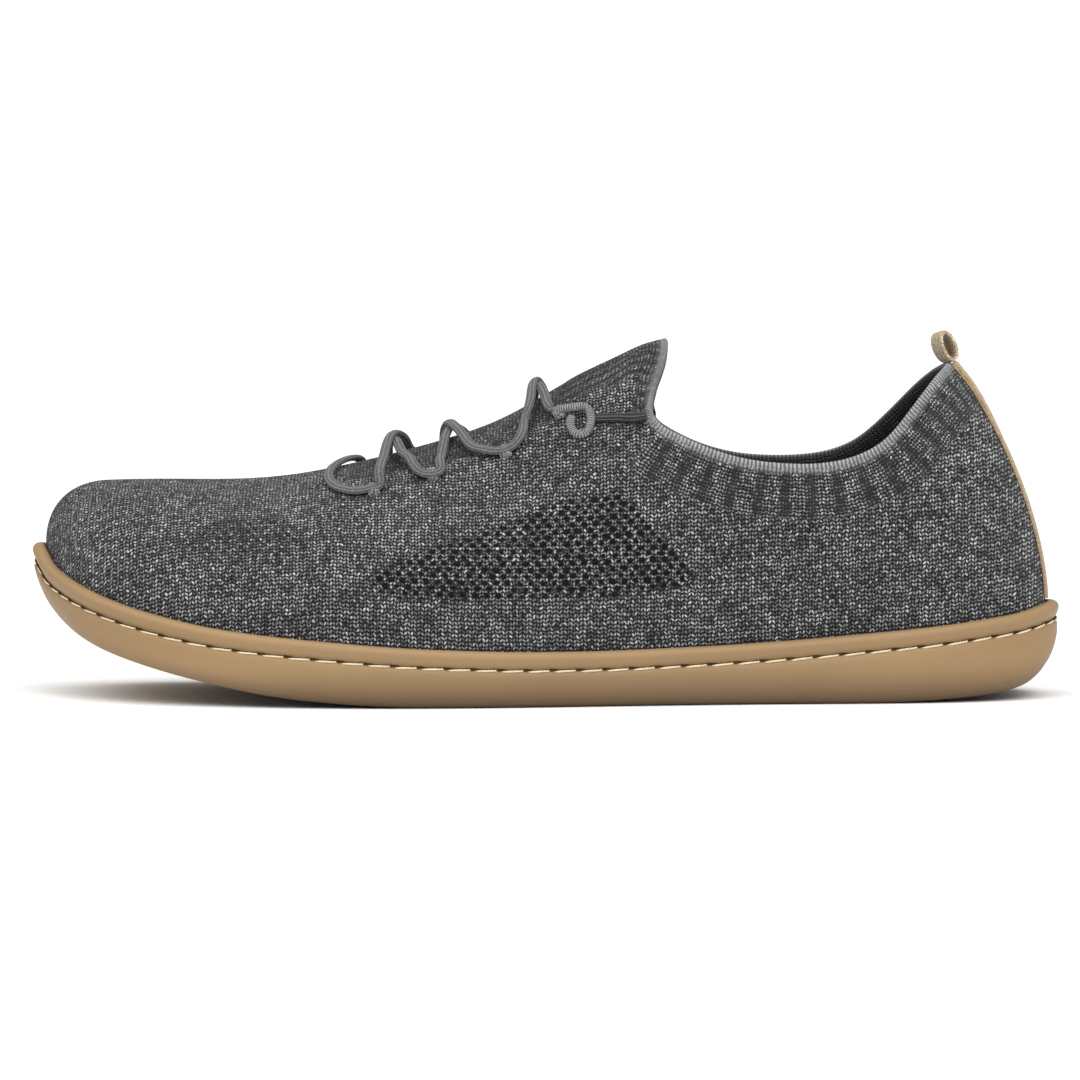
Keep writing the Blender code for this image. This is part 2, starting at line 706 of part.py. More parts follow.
def build_upper():
    """The knit: an outer and an inner face a wall apart, open at the collar and underneath."""
    points, faces, marks, collar, feet = upper_grid(COLUMNS_PER_ROW, SIDE_ROWS)
    out = normals(points, faces)
    rise = np.array([eyestay_rise(*mark) for mark in marks])
    outer = points + out * rise[:, None]
    inner = outer - out * KNIT_WALL
    count = len(points)
    middle = [(outer[i] + inner[i]) / 2 for i in collar]
    lift = np.array([0.0, 0.0, COLLAR_ROLL])
    rolled = [place + lift for place in middle]
    solid = list(outer) + list(inner) + rolled
    shell = list(faces) + [tuple(i + count for i in face[::-1]) for face in faces]
    for k in range(len(collar)):
        a, b = collar[k], collar[(k + 1) % len(collar)]
        m, n = 2 * count + k, 2 * count + (k + 1) % len(collar)
        shell += [(a, b, n, m), (m, n, b + count, a + count)]
    for k in range(len(feet)):
        a, b = feet[k], feet[(k + 1) % len(feet)]
        shell.append((b, a, a + count, b + count))
    knit = material("knit", KNIT_COLOUR, 0.95)
    return add_mesh("upper", solid, shell, knit)


# Lace
def on_upper(tree, along, across, lift):
    """A place over the upper's outside, at a height above it, and the knit's direction there."""
    high = Vector(((along - 0.5) * LENGTH, MIDDLE + across, 2 * TONGUE_HEIGHT))
    place, normal, _, _ = tree.ray_cast(high, Vector((0, 0, -1)))
    return np.array(place + normal * lift), np.array(normal)


def through(points, count):
    """Evenly spaced points on a smooth curve through the given ones."""
    points = np.array(points)
    run = spaced(points[:, :3])
    return smooth(run, points)(np.linspace(0, run[-1], count))


def strand(tree, start, end, side, above):
    """The route of one crossing from a bridge on one side to the next one on the other side."""
    over = LACE_THICKNESS - LACE_JOIN if above else 0.0
    leaves, across, turn, arch = start[1:]
    arrives, next_across = end[0], end[2]
    route = []
    for u in np.linspace(0, 1, STRAND_POINTS):
        half = (across + (next_across - across) * u) * THROAT_HALF
        middle = math.sin(math.pi * u)
        lift = CLEARANCE + LACE_THICKNESS / 2 + over * middle
        lift += (arch + EYESTAY_STEP / 2) * middle ** 0.7
        place = leaves + (arrives - leaves) * u ** turn
        route.append(on_upper(tree, place, side * half * math.cos(math.pi * u), lift))
    return route


def sections(places, ups, wide, thick):
    """Oval rings square to a route, and each ring's own upward direction."""
    last = len(places) - 1
    rings, risen = [], []
    for k, (place, up) in enumerate(zip(places, ups)):
        ahead = places[min(k + 1, last)] - places[max(k - 1, 0)]
        ahead /= np.linalg.norm(ahead)
        up = up - ahead * up.dot(ahead)
        up /= np.linalg.norm(up)
        across = np.cross(ahead, up)
        angles = [2 * math.pi * n / LACE_SIDES for n in range(LACE_SIDES)]
        rings.append([place + across * math.cos(a) * wide / 2 + up * math.sin(a) * thick / 2
                      for a in angles])
        risen.append(up)
    return rings, np.array(risen)


def lifted_clear(tree, route, wide, thick, count):
    """Evenly spaced rings along a route, raised where they would come too near the upper."""
    places, ups = np.split(through([np.concatenate(pair) for pair in route], count), 2, axis=1)
    for _ in range(3):
        rings, risen = sections(places, ups, wide, thick)
        lack = np.zeros(count)
        for k, ring in enumerate(rings):
            for corner in ring:
                near, normal, _, _ = tree.find_nearest(Vector(corner))
                gap = float(np.dot(corner - np.array(near), normal))
                lack[k] = max(lack[k], LACE_GAP - gap)
        for _ in range(3):
            around_it = (np.append(lack[1:], 0) + np.append(0, lack[:-1])) / 2
            lack = np.maximum(lack, around_it)
        places = places + risen * lack[:, None]
    return places, sections(places, ups, wide, thick)[0]


def ribbon(name, tree, route, finish, count):
    """A flat oval lace along a route of places and the knit's directions."""
    sides = LACE_SIDES
    _, rings = lifted_clear(tree, route, LACE_WIDTH, LACE_THICKNESS, count)
    points = [corner for ring in rings for corner in ring]
    faces = []
    for k in range(count - 1):
        faces += ring_faces(k * sides, (k + 1) * sides, sides)
    faces.append(tuple(range(sides))[::-1])
    faces.append(tuple(range((count - 1) * sides, count * sides)))
    return add_mesh(name, points, [face[::-1] for face in faces], finish)


def unite(base, other):
    """Joins another solid to the base and leaves the other out of the model."""
    join = base.modifiers.new("join " + other.name, "BOOLEAN")
    join.operation = "UNION"
    join.solver = "EXACT"
    join.object = other
    other.hide_render = True
    other.display_type = "WIRE"


def build_lace(tree):
    """The elastic lace over the throat, as one solid: two zigzags and the bar that links them."""
    elastic = material("lace_elastic", LACE_COLOUR, 0.75)
    flat = CLEARANCE + LACE_THICKNESS / 2
    bar = [on_upper(tree, a, w * THROAT_HALF, flat + lift) for a, w, lift in FRONT_BAR]
    first = BRIDGES[0]
    zigzags = {}
    for begin in (LATERAL, MEDIAL):
        route = [on_upper(tree, (first[0] + first[1]) / 2, begin * first[2] * THROAT_HALF, flat)]
        side = begin
        for start, end in zip(BRIDGES, BRIDGES[1:]):
            above = begin == LATERAL
            route += strand(tree, start, end, side, above)
            side = -side
        zigzags[begin] = route
    whole = zigzags[MEDIAL][::-1] + bar[::-1] + zigzags[LATERAL][:1]
    lace = ribbon("lace_crossings", tree, whole, elastic, count=64)
    upper_zigzag = ribbon("lace_zigzag", tree, zigzags[LATERAL], elastic, count=44)
    unite(lace, upper_zigzag)


def cord(name, route, finish):
    """A round cord along a route."""
    data = bpy.data.curves.new(name, "CURVE")
    data.dimensions = "3D"
    data.bevel_depth = CORD_DIAMETER / 2
    data.bevel_resolution = 2
    data.use_fill_caps = True
    spline = data.splines.new("POLY")
    spline.points.add(len(route) - 1)
    for point, place in zip(spline.points, route):
        point.co = (*place, 1)
    data.materials.append(finish)
    made = bpy.data.objects.new(name, data)
    bpy.context.scene.collection.objects.link(made)
    return made


def build_cords(tree):
    """The lace's small knotted loop and its end on each side."""
    elastic = material("cord_elastic", LACE_COLOUR, 0.75)
    lift = CLEARANCE + CORD_DIAMETER / 2
    for side, word in ((LATERAL, "lateral"), (MEDIAL, "medial")):
        for kind, table, count in (("lace_knot", KNOT, KNOT_POINTS), ("lace_end", LACE_END, END_POINTS)):
            route = [on_upper(tree, a, side * w * THROAT_HALF, lift) for a, w in table]
            places, _ = lifted_clear(tree, route, CORD_DIAMETER, CORD_DIAMETER, count)
            cord(f"{kind}_{word}", places, elastic)


# Pull loop and heel tape
def build_heel_tape(tree):
    """Webbing sewn down the middle of the heel, from the collar to the rim."""
    low = rim(LENGTH / 2) + 2 * CLEARANCE
    high = HEEL_HEIGHT - 2 * TAPE_THICKNESS
    heights = np.linspace(low, high, TAPE_ROWS)
    across = MIDDLE + np.linspace(-TAPE_WIDTH / 2, TAPE_WIDTH / 2, TAPE_COLUMNS)
    inner, outer = [], []
    for z in heights:
        for y in across:
            place, normal, _, _ = tree.ray_cast(Vector((LENGTH, y, z)), Vector((-1, 0, 0)))
            inner.append(np.array(place + normal * CLEARANCE))
            outer.append(np.array(place + normal * (CLEARANCE + TAPE_THICKNESS)))
    count, wide = len(inner), len(across)
    faces = []
    for k in range(len(heights) - 1):
        for n in range(wide - 1):
            a = k * wide + n
            quad = (a, a + 1, a + 1 + wide, a + wide)
            faces.append(quad[::-1])
            faces.append(tuple(i + count for i in quad))
    border = list(range(wide))
    border += [k * wide + wide - 1 for k in range(1, len(heights))]
    border += [(len(heights) - 1) * wide + n for n in range(wide - 2, -1, -1)]
    border += [k * wide for k in range(len(heights) - 2, 0, -1)]
    for a, b in zip(border, border[1:] + border[:1]):
        faces.append((a, b, b + count, a + count))
    webbing = material("heel_webbing", WEBBING_COLOUR, 0.8)
    return add_mesh("heel_tape", inner + outer, faces, webbing)


def build_pull_loop():
    """The webbing's closed loop that stands on the collar over the heel."""
    lean = math.radians(LOOP_LEAN)
    along = np.array([-math.sin(lean), 0.0, math.cos(lean)])
    aside = np.array([math.cos(lean), 0.0, math.sin(lean)])
    tall, deep = (LOOP_HEIGHT - TAPE_THICKNESS) / 2, (LOOP_DEPTH - TAPE_THICKNESS) / 2
    heel = COLLAR_AT(1.0)[0]
    seat = heel + np.array([0.0, 0.0, CLEARANCE + TAPE_THICKNESS / 2])
    centre = seat + along * tall
    steps = LOOP_STEPS
    points = []
    for k in range(steps):
        angle = 2 * math.pi * k / steps
        middle = centre + along * tall * math.cos(angle) + aside * deep * math.sin(angle)
        normal = along * math.cos(angle) / tall + aside * math.sin(angle) / deep
        normal *= TAPE_THICKNESS / 2 / np.linalg.norm(normal)
        for shift, y in ((1, -1), (1, 1), (-1, 1), (-1, -1)):
            points.append(middle + normal * shift + np.array([0.0, y * TAPE_WIDTH / 2, 0.0]))
    faces = []
    for k in range(steps):
        here, after = 4 * k, 4 * ((k + 1) % steps)
        for n in range(4):
            m = (n + 1) % 4
            faces.append((here + n, after + n, after + m, here + m))
    webbing = material("loop_webbing", WEBBING_COLOUR, 0.8)
    return add_mesh("pull_loop", points, faces, webbing)


build_outsole()
build_insole()
KNIT = build_upper()
TREE = BVHTree.FromPolygons([v.co for v in KNIT.data.vertices],
                            [face.vertices[:] for face in KNIT.data.polygons])
build_lace(TREE)
build_cords(TREE)
build_heel_tape(TREE)
build_pull_loop()
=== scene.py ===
import math

import bpy
import numpy as np
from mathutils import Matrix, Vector
from mathutils.bvhtree import BVHTree
from mathutils.kdtree import KDTree


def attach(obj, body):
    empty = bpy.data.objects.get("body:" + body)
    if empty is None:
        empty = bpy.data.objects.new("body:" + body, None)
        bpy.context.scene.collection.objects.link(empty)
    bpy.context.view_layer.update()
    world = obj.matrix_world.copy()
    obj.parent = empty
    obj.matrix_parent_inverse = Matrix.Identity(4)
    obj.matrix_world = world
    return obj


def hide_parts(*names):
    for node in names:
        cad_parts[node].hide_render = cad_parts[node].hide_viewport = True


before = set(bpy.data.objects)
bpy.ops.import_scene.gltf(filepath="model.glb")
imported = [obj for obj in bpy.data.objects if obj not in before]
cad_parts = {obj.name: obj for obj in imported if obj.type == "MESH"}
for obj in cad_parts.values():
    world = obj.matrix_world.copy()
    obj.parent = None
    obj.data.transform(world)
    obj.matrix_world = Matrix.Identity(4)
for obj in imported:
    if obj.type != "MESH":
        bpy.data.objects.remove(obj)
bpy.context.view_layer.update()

# Sole
# A cupsole of soft tan rubber, moulded in one piece: a thin flat bottom, a low wall that follows
# the foot's outline, and a rounded lip along its top. Its grooved wall is sewn to the upper.
LENGTH = 0.280
BALL_WIDTH = 0.104
HEEL_WIDTH = 0.069
RIM_HEIGHT = 0.0148
TOE_RIM_RISE = 0.0262
HEEL_RIM_RISE = 0.0112
TOE_SPRING = 0.0340
HEEL_RISE = 0.0140
SOLE_WALL = 0.0030
SOLE_FLOOR = 0.0040
SOLE_EDGE_RADIUS = 0.0040
CUP_FILLET = 0.0020
GROOVE_DROP = 0.0045
GROOVE_WIDTH = 0.0016
GROOVE_DEPTH = 0.0006
LIP_ROUND = 0.0016
LIP_SWELL = 0.0004
GROOVE_SPREAD = 1.8
INNER_BEVEL = 0.0005
CLEARANCE = 0.0003
PLAN_SAMPLES = 6000
RIM_SAMPLES = 2001
SOLE_STEPS = 190
LID_ROWS = 13
LATERAL, MEDIAL = -1, 1

TIP_ACROSS = 0.13
FRONT_PLAN = (
    # along, lateral, medial
    (0.020, 0.070, 0.290), (0.060, 0.260, 0.390), (0.120, 0.385, 0.440), (0.200, 0.462, 0.468),
    (0.320, 0.505, 0.482), (0.440, 0.487, 0.430), (0.560, 0.430, 0.352),
)
REAR_PLAN = (
    # along, lateral, medial
    (0.700, 0.552, 0.475), (0.820, 0.505, 0.480), (0.900, 0.445, 0.440), (0.962, 0.315, 0.315),
    (0.991, 0.160, 0.160),
)
RIM_TOE = (
    # along, rise
    (0.000, 1.000), (0.005, 0.943), (0.015, 0.810), (0.034, 0.687), (0.068, 0.540),
    (0.116, 0.388), (0.194, 0.222), (0.292, 0.112), (0.400, 0.030), (0.500, 0.000),
)
RIM_HEEL = (
    # distance from the heel, rise
    (0.000, 1.000), (0.012, 0.930), (0.037, 0.790), (0.075, 0.660), (0.114, 0.540),
    (0.192, 0.360), (0.270, 0.200), (0.350, 0.085), (0.470, 0.000),
)
SPRING_TOE = (
    # along, rise
    (0.000, 1.000), (0.0054, 0.897), (0.0093, 0.835), (0.015, 0.756), (0.034, 0.600),
    (0.068, 0.444), (0.116, 0.312), (0.194, 0.159), (0.243, 0.085), (0.292, 0.041),
    (0.340, 0.014), (0.390, 0.000),
)
SPRING_HEEL = (
    # distance from the heel, rise
    (0.000, 1.000), (0.007, 0.750), (0.012, 0.640), (0.022, 0.450), (0.036, 0.286),
    (0.056, 0.180), (0.105, 0.070), (0.150, 0.020), (0.190, 0.000),
)


def steady(rows):
    """A curve through the rows that never overshoots them."""
    x, y = np.array(rows, float).T
    step = np.diff(x)
    slope = np.diff(y) / step
    tangent = np.zeros(len(x))
    for i in range(1, len(x) - 1):
        if slope[i - 1] * slope[i] > 0:
            a = 2 * step[i] + step[i - 1]
            b = step[i] + 2 * step[i - 1]
            tangent[i] = (a + b) / (a / slope[i - 1] + b / slope[i])
    tangent[0] = slope[0]

    def at(value):
        v = np.clip(value, x[0], x[-1])
        i = np.clip(np.searchsorted(x, v, side="right") - 1, 0, len(step) - 1)
        u = (v - x[i]) / step[i]
        rest = (1 - u) ** 2
        return (y[i] * rest * (1 + 2 * u) + step[i] * tangent[i] * u * rest
                + y[i + 1] * u * u * (3 - 2 * u) - step[i] * tangent[i + 1] * u * u * (1 - u))

    return at


def smooth(knots, values, closed=False):
    """A cubic spline through the values, natural at its ends, or closed after the last knot."""
    x = np.array(knots, float)
    y = np.array(values, float)
    if y.ndim == 1:
        y = y[:, None]
    if closed:
        y = np.vstack([y, y[:1]])
    step = np.diff(x)
    n = len(x)
    matrix = np.zeros((n, n))
    right = np.zeros((n, y.shape[1]))
    for i in range(1, n - 1):
        matrix[i, i - 1:i + 2] = step[i - 1], 2 * (step[i - 1] + step[i]), step[i]
        right[i] = 6 * ((y[i + 1] - y[i]) / step[i] - (y[i] - y[i - 1]) / step[i - 1])
    if closed:
        matrix[0, 0], matrix[0, -1] = 1, -1
        matrix[-1, 0], matrix[-1, 1] = 2 * step[0], step[0]
        matrix[-1, -2], matrix[-1, -1] = step[-1], 2 * step[-1]
        right[-1] = 6 * ((y[1] - y[0]) / step[0] - (y[-1] - y[-2]) / step[-1])
    else:
        matrix[0, 0] = matrix[-1, -1] = 1
    bend = np.linalg.solve(matrix, right)

    def at(value):
        v = np.atleast_1d(np.array(value, float))
        if closed:
            v = x[0] + (v - x[0]) % (x[-1] - x[0])
        i = np.clip(np.searchsorted(x, v, side="right") - 1, 0, n - 2)
        h = step[i][:, None]
        a = (x[i + 1] - v)[:, None] / h
        b = 1 - a
        return (a * y[i] + b * y[i + 1]
                + ((a ** 3 - a) * bend[i] + (b ** 3 - b) * bend[i + 1]) * h * h / 6)

    return at


def share_at(x):
    """How far along the sole a place lies: 0 at the toe's tip, 1 at the heel."""
    return x / LENGTH + 0.5


def along_at(share):
    """The X of a share of the sole's length from the toe's tip."""
    return (share - 0.5) * LENGTH


def spaced(points):
    """Running length along a row of points."""
    return np.concatenate([[0], np.cumsum(np.linalg.norm(np.diff(points, axis=0), axis=1))])


def ramp(low, high, value):
    """A soft step from 0 at low to 1 at high."""
    u = np.clip((value - low) / (high - low), 0, 1)
    return u * u * (3 - 2 * u)


def unit(vectors):
    """One vector, or rows of them, brought to length 1."""
    return vectors / np.linalg.norm(vectors, axis=-1, keepdims=True)


def plan_curve():
    """The sole's outer edge for each side: turn, place and the outward direction."""
    halves = [[(row[0] * LENGTH, side * row[column] * width)
               for table, width in ((FRONT_PLAN, BALL_WIDTH), (REAR_PLAN, HEEL_WIDTH))
               for row in table] for side, column in ((LATERAL, 1), (MEDIAL, 2))]
    toe, heel = (0.0, TIP_ACROSS * BALL_WIDTH), (LENGTH, 0.0)
    corners = np.array([toe] + halves[0] + [heel] + halves[1][::-1])
    knots = spaced(np.vstack([corners, corners[:1]]))
    turns = np.linspace(0, knots[-1], PLAN_SAMPLES, endpoint=False)
    points = smooth(knots, corners, closed=True)(turns)
    low, high = points.min(axis=0), points.max(axis=0)
    points[:, 0] = ((points[:, 0] - low[0]) / (high[0] - low[0]) - 0.5) * LENGTH
    points[:, 1] -= (low[1] + high[1]) / 2
    points = np.roll(points, -int(np.argmin(points[:, 0])), axis=0)
    tangent = unit(np.roll(points, -1, axis=0) - np.roll(points, 1, axis=0))
    outward = np.stack([tangent[:, 1], -tangent[:, 0]], axis=1)
    back = int(np.argmax(points[:, 0]))
    result = {}
    for side, index in ((LATERAL, np.arange(0, back + 1)),
                        (MEDIAL, np.append(0, np.arange(len(points) - 1, back - 1, -1)))):
        share = np.clip(share_at(points[index, 0]), 0, 1)
        angle = np.arccos(1 - 2 * share) / math.pi
        angle[0], angle[-1] = 0, 1
        result[side] = (angle, points[index], outward[index])
    return result, -(low[1] + high[1]) / 2


PLAN, MIDDLE = plan_curve()


def edge(side, turn, inset=0.0):
    """Plan point on the sole's outer edge moved inwards, and the outward direction there."""
    angle, points, outward = PLAN[side]
    place = np.array([np.interp(turn, angle, points[:, k]) for k in (0, 1)])
    out = unit(np.array([np.interp(turn, angle, outward[:, k]) for k in (0, 1)]))
    return place - out * inset, out


RIM_TOE_AT, RIM_HEEL_AT = steady(RIM_TOE), steady(RIM_HEEL)
SPRING_TOE_AT, SPRING_HEEL_AT = steady(SPRING_TOE), steady(SPRING_HEEL)


def rim(x):
    """Height of the rim's top edge."""
    s = share_at(x)
    return RIM_HEIGHT + TOE_RIM_RISE * RIM_TOE_AT(s) + HEEL_RIM_RISE * RIM_HEEL_AT(1 - s)


def underside(x):
    """Height of the sole's underside along its middle."""
    s = share_at(x)
    return TOE_SPRING * SPRING_TOE_AT(s) + HEEL_RISE * SPRING_HEEL_AT(1 - s)


def sole_stations(steps):
    """Places once round the sole: side, turn, plan point and running length along the rim."""
    fine = np.linspace(0, 1, RIM_SAMPLES)
    stations = []
    for side in (LATERAL, MEDIAL):
        places = np.array([[*edge(side, turn)[0], 0.0] for turn in fine])
        places[:, 2] = rim(places[:, 0])
        run = spaced(places)
        turns = np.interp(np.linspace(0, run[-1], steps + 1), run, fine)
        row = [(side, turn) for turn in turns]
        stations += row[:-1] if side == LATERAL else row[:0:-1]
    return stations


def lay_cloth(mesh, name, uvs):
    """A UV layer on a mesh from a place on the cloth for each point."""
    corners = np.zeros(len(mesh.loops), dtype=np.int32)
    mesh.loops.foreach_get("vertex_index", corners)
    layer = mesh.uv_layers.new(name=name)
    layer.data.foreach_set("uv", np.array(uvs, np.float32)[corners].ravel())


def shaded(name, points, faces, uvs=None, sharp=50.0):
    """A smooth-shaded mesh object, with a place on the cloth for each point where given."""
    mesh = bpy.data.meshes.new(name)
    mesh.from_pydata([tuple(p) for p in points], [], faces)
    mesh.shade_smooth()
    mesh.set_sharp_from_angle(angle=math.radians(sharp))
    if uvs is not None:
        lay_cloth(mesh, "cloth", uvs)
    made = bpy.data.objects.new(name, mesh)
    bpy.context.scene.collection.objects.link(made)
    return made


def ring_faces(first, second, count):
    """Faces between two rings of points, given by their first numbers."""
    return [(first + i, first + (i + 1) % count, second + (i + 1) % count, second + i)
            for i in range(count)]


def stack_faces(rings, count):
    """Faces between each of the rings of count points and the next one."""
    return [face for first in range(0, (rings - 1) * count, count)
            for face in ring_faces(first, first + count, count)]


STATIONS = sole_stations(SOLE_STEPS)


def sole_mesh():
    """The cupsole's rings from the flat bottom out, over the lip and down into the cup."""
    plain = np.array([edge(side, turn)[0][0] for side, turn in STATIONS])
    top = rim(plain)
    groove_low = GROOVE_DROP + GROOVE_WIDTH
    radius = np.minimum(SOLE_EDGE_RADIUS, 0.9 * (top - underside(plain) - groove_low))
    rings = []

    def ring(inset, height):
        insets = np.broadcast_to(inset, len(STATIONS))
        places = np.array([edge(*station, depth)[0] for station, depth in zip(STATIONS, insets)])
        rings.append(list(np.column_stack([places, height(places[:, 0])])))

    for angle in np.radians(np.linspace(0, 90, 9)):
        ring(radius * (1 - math.sin(angle)),
             lambda x: underside(x) + radius * (1 - math.cos(angle)))
    for rise in (0.2, 0.4, 0.6, 0.8):
        ring(0.0, lambda x: (1 - rise) * (underside(x) + radius) + rise * (top - groove_low))
    for k in np.linspace(0, 1, 9):
        ring(GROOVE_DEPTH * math.sin(math.pi * k) ** 1.5,
             lambda x: top - groove_low + GROOVE_SPREAD * GROOVE_WIDTH * k)
    lip_low = groove_low - GROOVE_SPREAD * GROOVE_WIDTH
    for k in (0.35, 0.7, 1.0):
        ring(-LIP_SWELL * math.sin(math.pi * k * 0.5),
             lambda x: top - lip_low + (lip_low - LIP_ROUND) * k)
    for angle in np.radians(np.linspace(20, 90, 5)):
        ring(-LIP_SWELL + (LIP_ROUND + LIP_SWELL) * (1 - math.cos(angle)),
             lambda x: top - LIP_ROUND * (1 - math.sin(angle)))
    ring(SOLE_WALL - INNER_BEVEL, lambda x: top)
    ring(SOLE_WALL, lambda x: top - INNER_BEVEL)
    for drop, inset in ((1, 0), (1 - math.sqrt(0.5), 1 - math.sqrt(0.5)), (0, 1)):
        ring(SOLE_WALL + inset * CUP_FILLET,
             lambda x: underside(x) + SOLE_FLOOR + drop * CUP_FILLET)
    return [p for one in rings for p in one], stack_faces(len(rings), len(STATIONS))


def lid(points, first, count, height, upwards):
    """Closes a ring round the sole with rows that run across it: new points and faces."""
    half = count // 2
    added, faces, number = [], [], {}
    for i in range(1, half):
        left, right = points[first + i], points[first + count - i]
        row = [first + i]
        for share in np.linspace(0, 1, LID_ROWS)[1:-1]:
            place = left + (right - left) * share
            row.append(len(points) + len(added))
            added.append(np.array([place[0], place[1], height(place[0])]))
        number[i] = row + [first + count - i]
    for i in range(1, half - 1):
        faces += list(zip(number[i], number[i][1:], number[i + 1][1:], number[i + 1]))
    for tip, row, flip in ((first, number[1], False), (first + half, number[half - 1], True)):
        for a, b in zip(row, row[1:]):
            faces.append((tip, a, b) if flip else (tip, b, a))
    return added, [face[::-1] for face in faces] if upwards else faces


def closed_cup(name, points, faces, count, low_at, high_at, sharp):
    """Rings of count points round the sole, with a lid under the first and over the last one."""
    for first, height, upwards in ((0, low_at, False), (len(points) - count, high_at, True)):
        added, more = lid(points, first, count, height, upwards)
        points, faces = points + added, faces + more
    return shaded(name, points, faces, sharp=sharp)


def sole_piece():
    """The whole cupsole, closed with its underside and its inner floor."""
    points, faces = sole_mesh()
    return closed_cup("sole", points, faces, len(STATIONS), underside,
                      lambda x: underside(x) + SOLE_FLOOR, sharp=60)


class Field:
    """A value that changes over a surface. Sums and products of fields become shader nodes."""

    def __init__(self, wires, socket):
        self.wires, self.socket = wires, socket

    def __add__(self, other):
        return self.wires.math("ADD", self, other)

    def __sub__(self, other):
        return self.wires.math("SUBTRACT", self, other)

    def __rsub__(self, other):
        return self.wires.math("SUBTRACT", other, self)

    def __mul__(self, other):
        return self.wires.math("MULTIPLY", self, other)

    def __truediv__(self, other):
        return self.wires.math("DIVIDE", self, other)

    def __pow__(self, other):
        return self.wires.math("POWER", self, other)

    def __abs__(self):
        return self.wires.math("ABSOLUTE", self)

    def whole(self):
        return self.wires.math("FLOOR", self)

    def wave(self, pitch):
        """A sine wave that repeats at each pitch of the field."""
        return self.wires.math("SINE", self * (2 * math.pi / pitch))

    def wave_top(self, pitch):
        """A cosine wave that repeats at each pitch of the field."""
        return self.wires.math("COSINE", self * (2 * math.pi / pitch))


class Wires:
    """Adds shader nodes to a tree and joins them, with numbers or fields as inputs."""

    def __init__(self, tree):
        self.tree = tree

    def node(self, kind, **settings):
        made = self.tree.nodes.new(kind)
        for name, value in settings.items():
            setattr(made, name, value)
        return made

    def put(self, socket, value):
        if isinstance(value, Field):
            self.tree.links.new(value.socket, socket)
        else:
            socket.default_value = value

    def feed(self, node, **values):
        """Puts values into a node's inputs by name, with _ for a space."""
        for name, value in values.items():
            self.put(node.inputs[name.replace("_", " ")], value)

    def math(self, operation, *values):
        made = self.node("ShaderNodeMath", operation=operation)
        for socket, value in zip(made.inputs, values):
            self.put(socket, value)
        return Field(self, made.outputs[0])

    def step(self, value, low, high, out_low=0.0, out_high=1.0):
        made = self.node("ShaderNodeMapRange", interpolation_type="SMOOTHSTEP")
        self.feed(made, Value=value, From_Min=low, From_Max=high, To_Min=out_low, To_Max=out_high)
        return Field(self, made.outputs[0])

    def noise(self, vector, scale, detail=2.0, rough=0.5):
        made = self.node("ShaderNodeTexNoise")
        self.feed(made, Vector=vector, Scale=scale, Detail=detail, Roughness=rough)
        return Field(self, made.outputs["Fac"])

    def combine(self, x, y):
        made = self.node("ShaderNodeCombineXYZ")
        self.feed(made, X=x, Y=y)
        return Field(self, made.outputs[0])

    def separate(self, vector):
        made = self.node("ShaderNodeSeparateXYZ")
        self.put(made.inputs[0], vector)
        return [Field(self, socket) for socket in made.outputs]

    def random(self, x, y):
        made = self.node("ShaderNodeTexWhiteNoise", noise_dimensions="3D")
        self.feed(made, Vector=self.combine(x, y))
        return Field(self, made.outputs["Value"])

    def mix(self, share, a, b):
        """A colour between two colours."""
        made = self.node("ShaderNodeMix", data_type="RGBA")
        self.put(made.inputs["Factor"], share)
        for name, colour in (("A", a), ("B", b)):
            self.put(made.inputs[name], colour if isinstance(colour, Field) else (*colour, 1))
        return Field(self, made.outputs["Result"])

    def blend(self, share, a, b):
        """A number between two numbers."""
        made = self.node("ShaderNodeMix", data_type="FLOAT")
        for place, value in ((0, share), (2, a), (3, b)):
            self.put(made.inputs[place], value)
        return Field(self, made.outputs[0])

    def attribute(self, name):
        return Field(self, self.node("ShaderNodeAttribute", attribute_name=name).outputs["Fac"])

    def cloth(self, layer):
        return self.separate(Field(self, self.node("ShaderNodeUVMap", uv_map=layer).outputs[0]))

    def place(self):
        return Field(self, self.node("ShaderNodeTexCoord").outputs["Object"])

    def bump(self, height, distance, strength=1.0):
        made = self.node("ShaderNodeBump")
        self.feed(made, Strength=strength, Distance=distance, Height=height)
        return Field(self, made.outputs[0])

    def group(self, shared, **values):
        made = self.node("ShaderNodeGroup", node_tree=shared)
        self.feed(made, **values)
        return {socket.name: Field(self, socket) for socket in made.outputs}


def finish(name, roughness, sheen=0.0, specular=0.3):
    """A new material with its Principled shader set up: the material, its wires and the shader."""
    made = bpy.data.materials.new(name)
    made.use_nodes = True
    shader = made.node_tree.nodes["Principled BSDF"]
    wires = Wires(made.node_tree)
    wires.feed(shader, Roughness=roughness, Metallic=0.0, Sheen_Weight=sheen, Sheen_Roughness=0.5,
               Specular_IOR_Level=specular)
    return made, wires, shader


def shared_group(name, inputs, outputs):
    """A new shader node group of numbers: the group, its wires, its fields and its output."""
    tree = bpy.data.node_groups.new(name, "ShaderNodeTree")
    for kind, names in (("INPUT", inputs), ("OUTPUT", outputs)):
        for socket in names:
            tree.interface.new_socket(name=socket, in_out=kind, socket_type="NodeSocketFloat")
    wires = Wires(tree)
    given = tree.nodes.new("NodeGroupInput").outputs
    return tree, wires, [Field(wires, given[name]) for name in inputs], \
        tree.nodes.new("NodeGroupOutput")


RUBBER = (0.290, 0.185, 0.088)
RUBBER_CLOUD = (0.240, 0.150, 0.070)
# The colour of the painted shade low on the wall, and the height under which it starts
RUBBER_SHADE = (0.112, 0.067, 0.030)
RUBBER_SHADE_BELOW = 0.0125
RUBBER_GRAIN = 2600.0
RUBBER_RELIEF = 0.00006


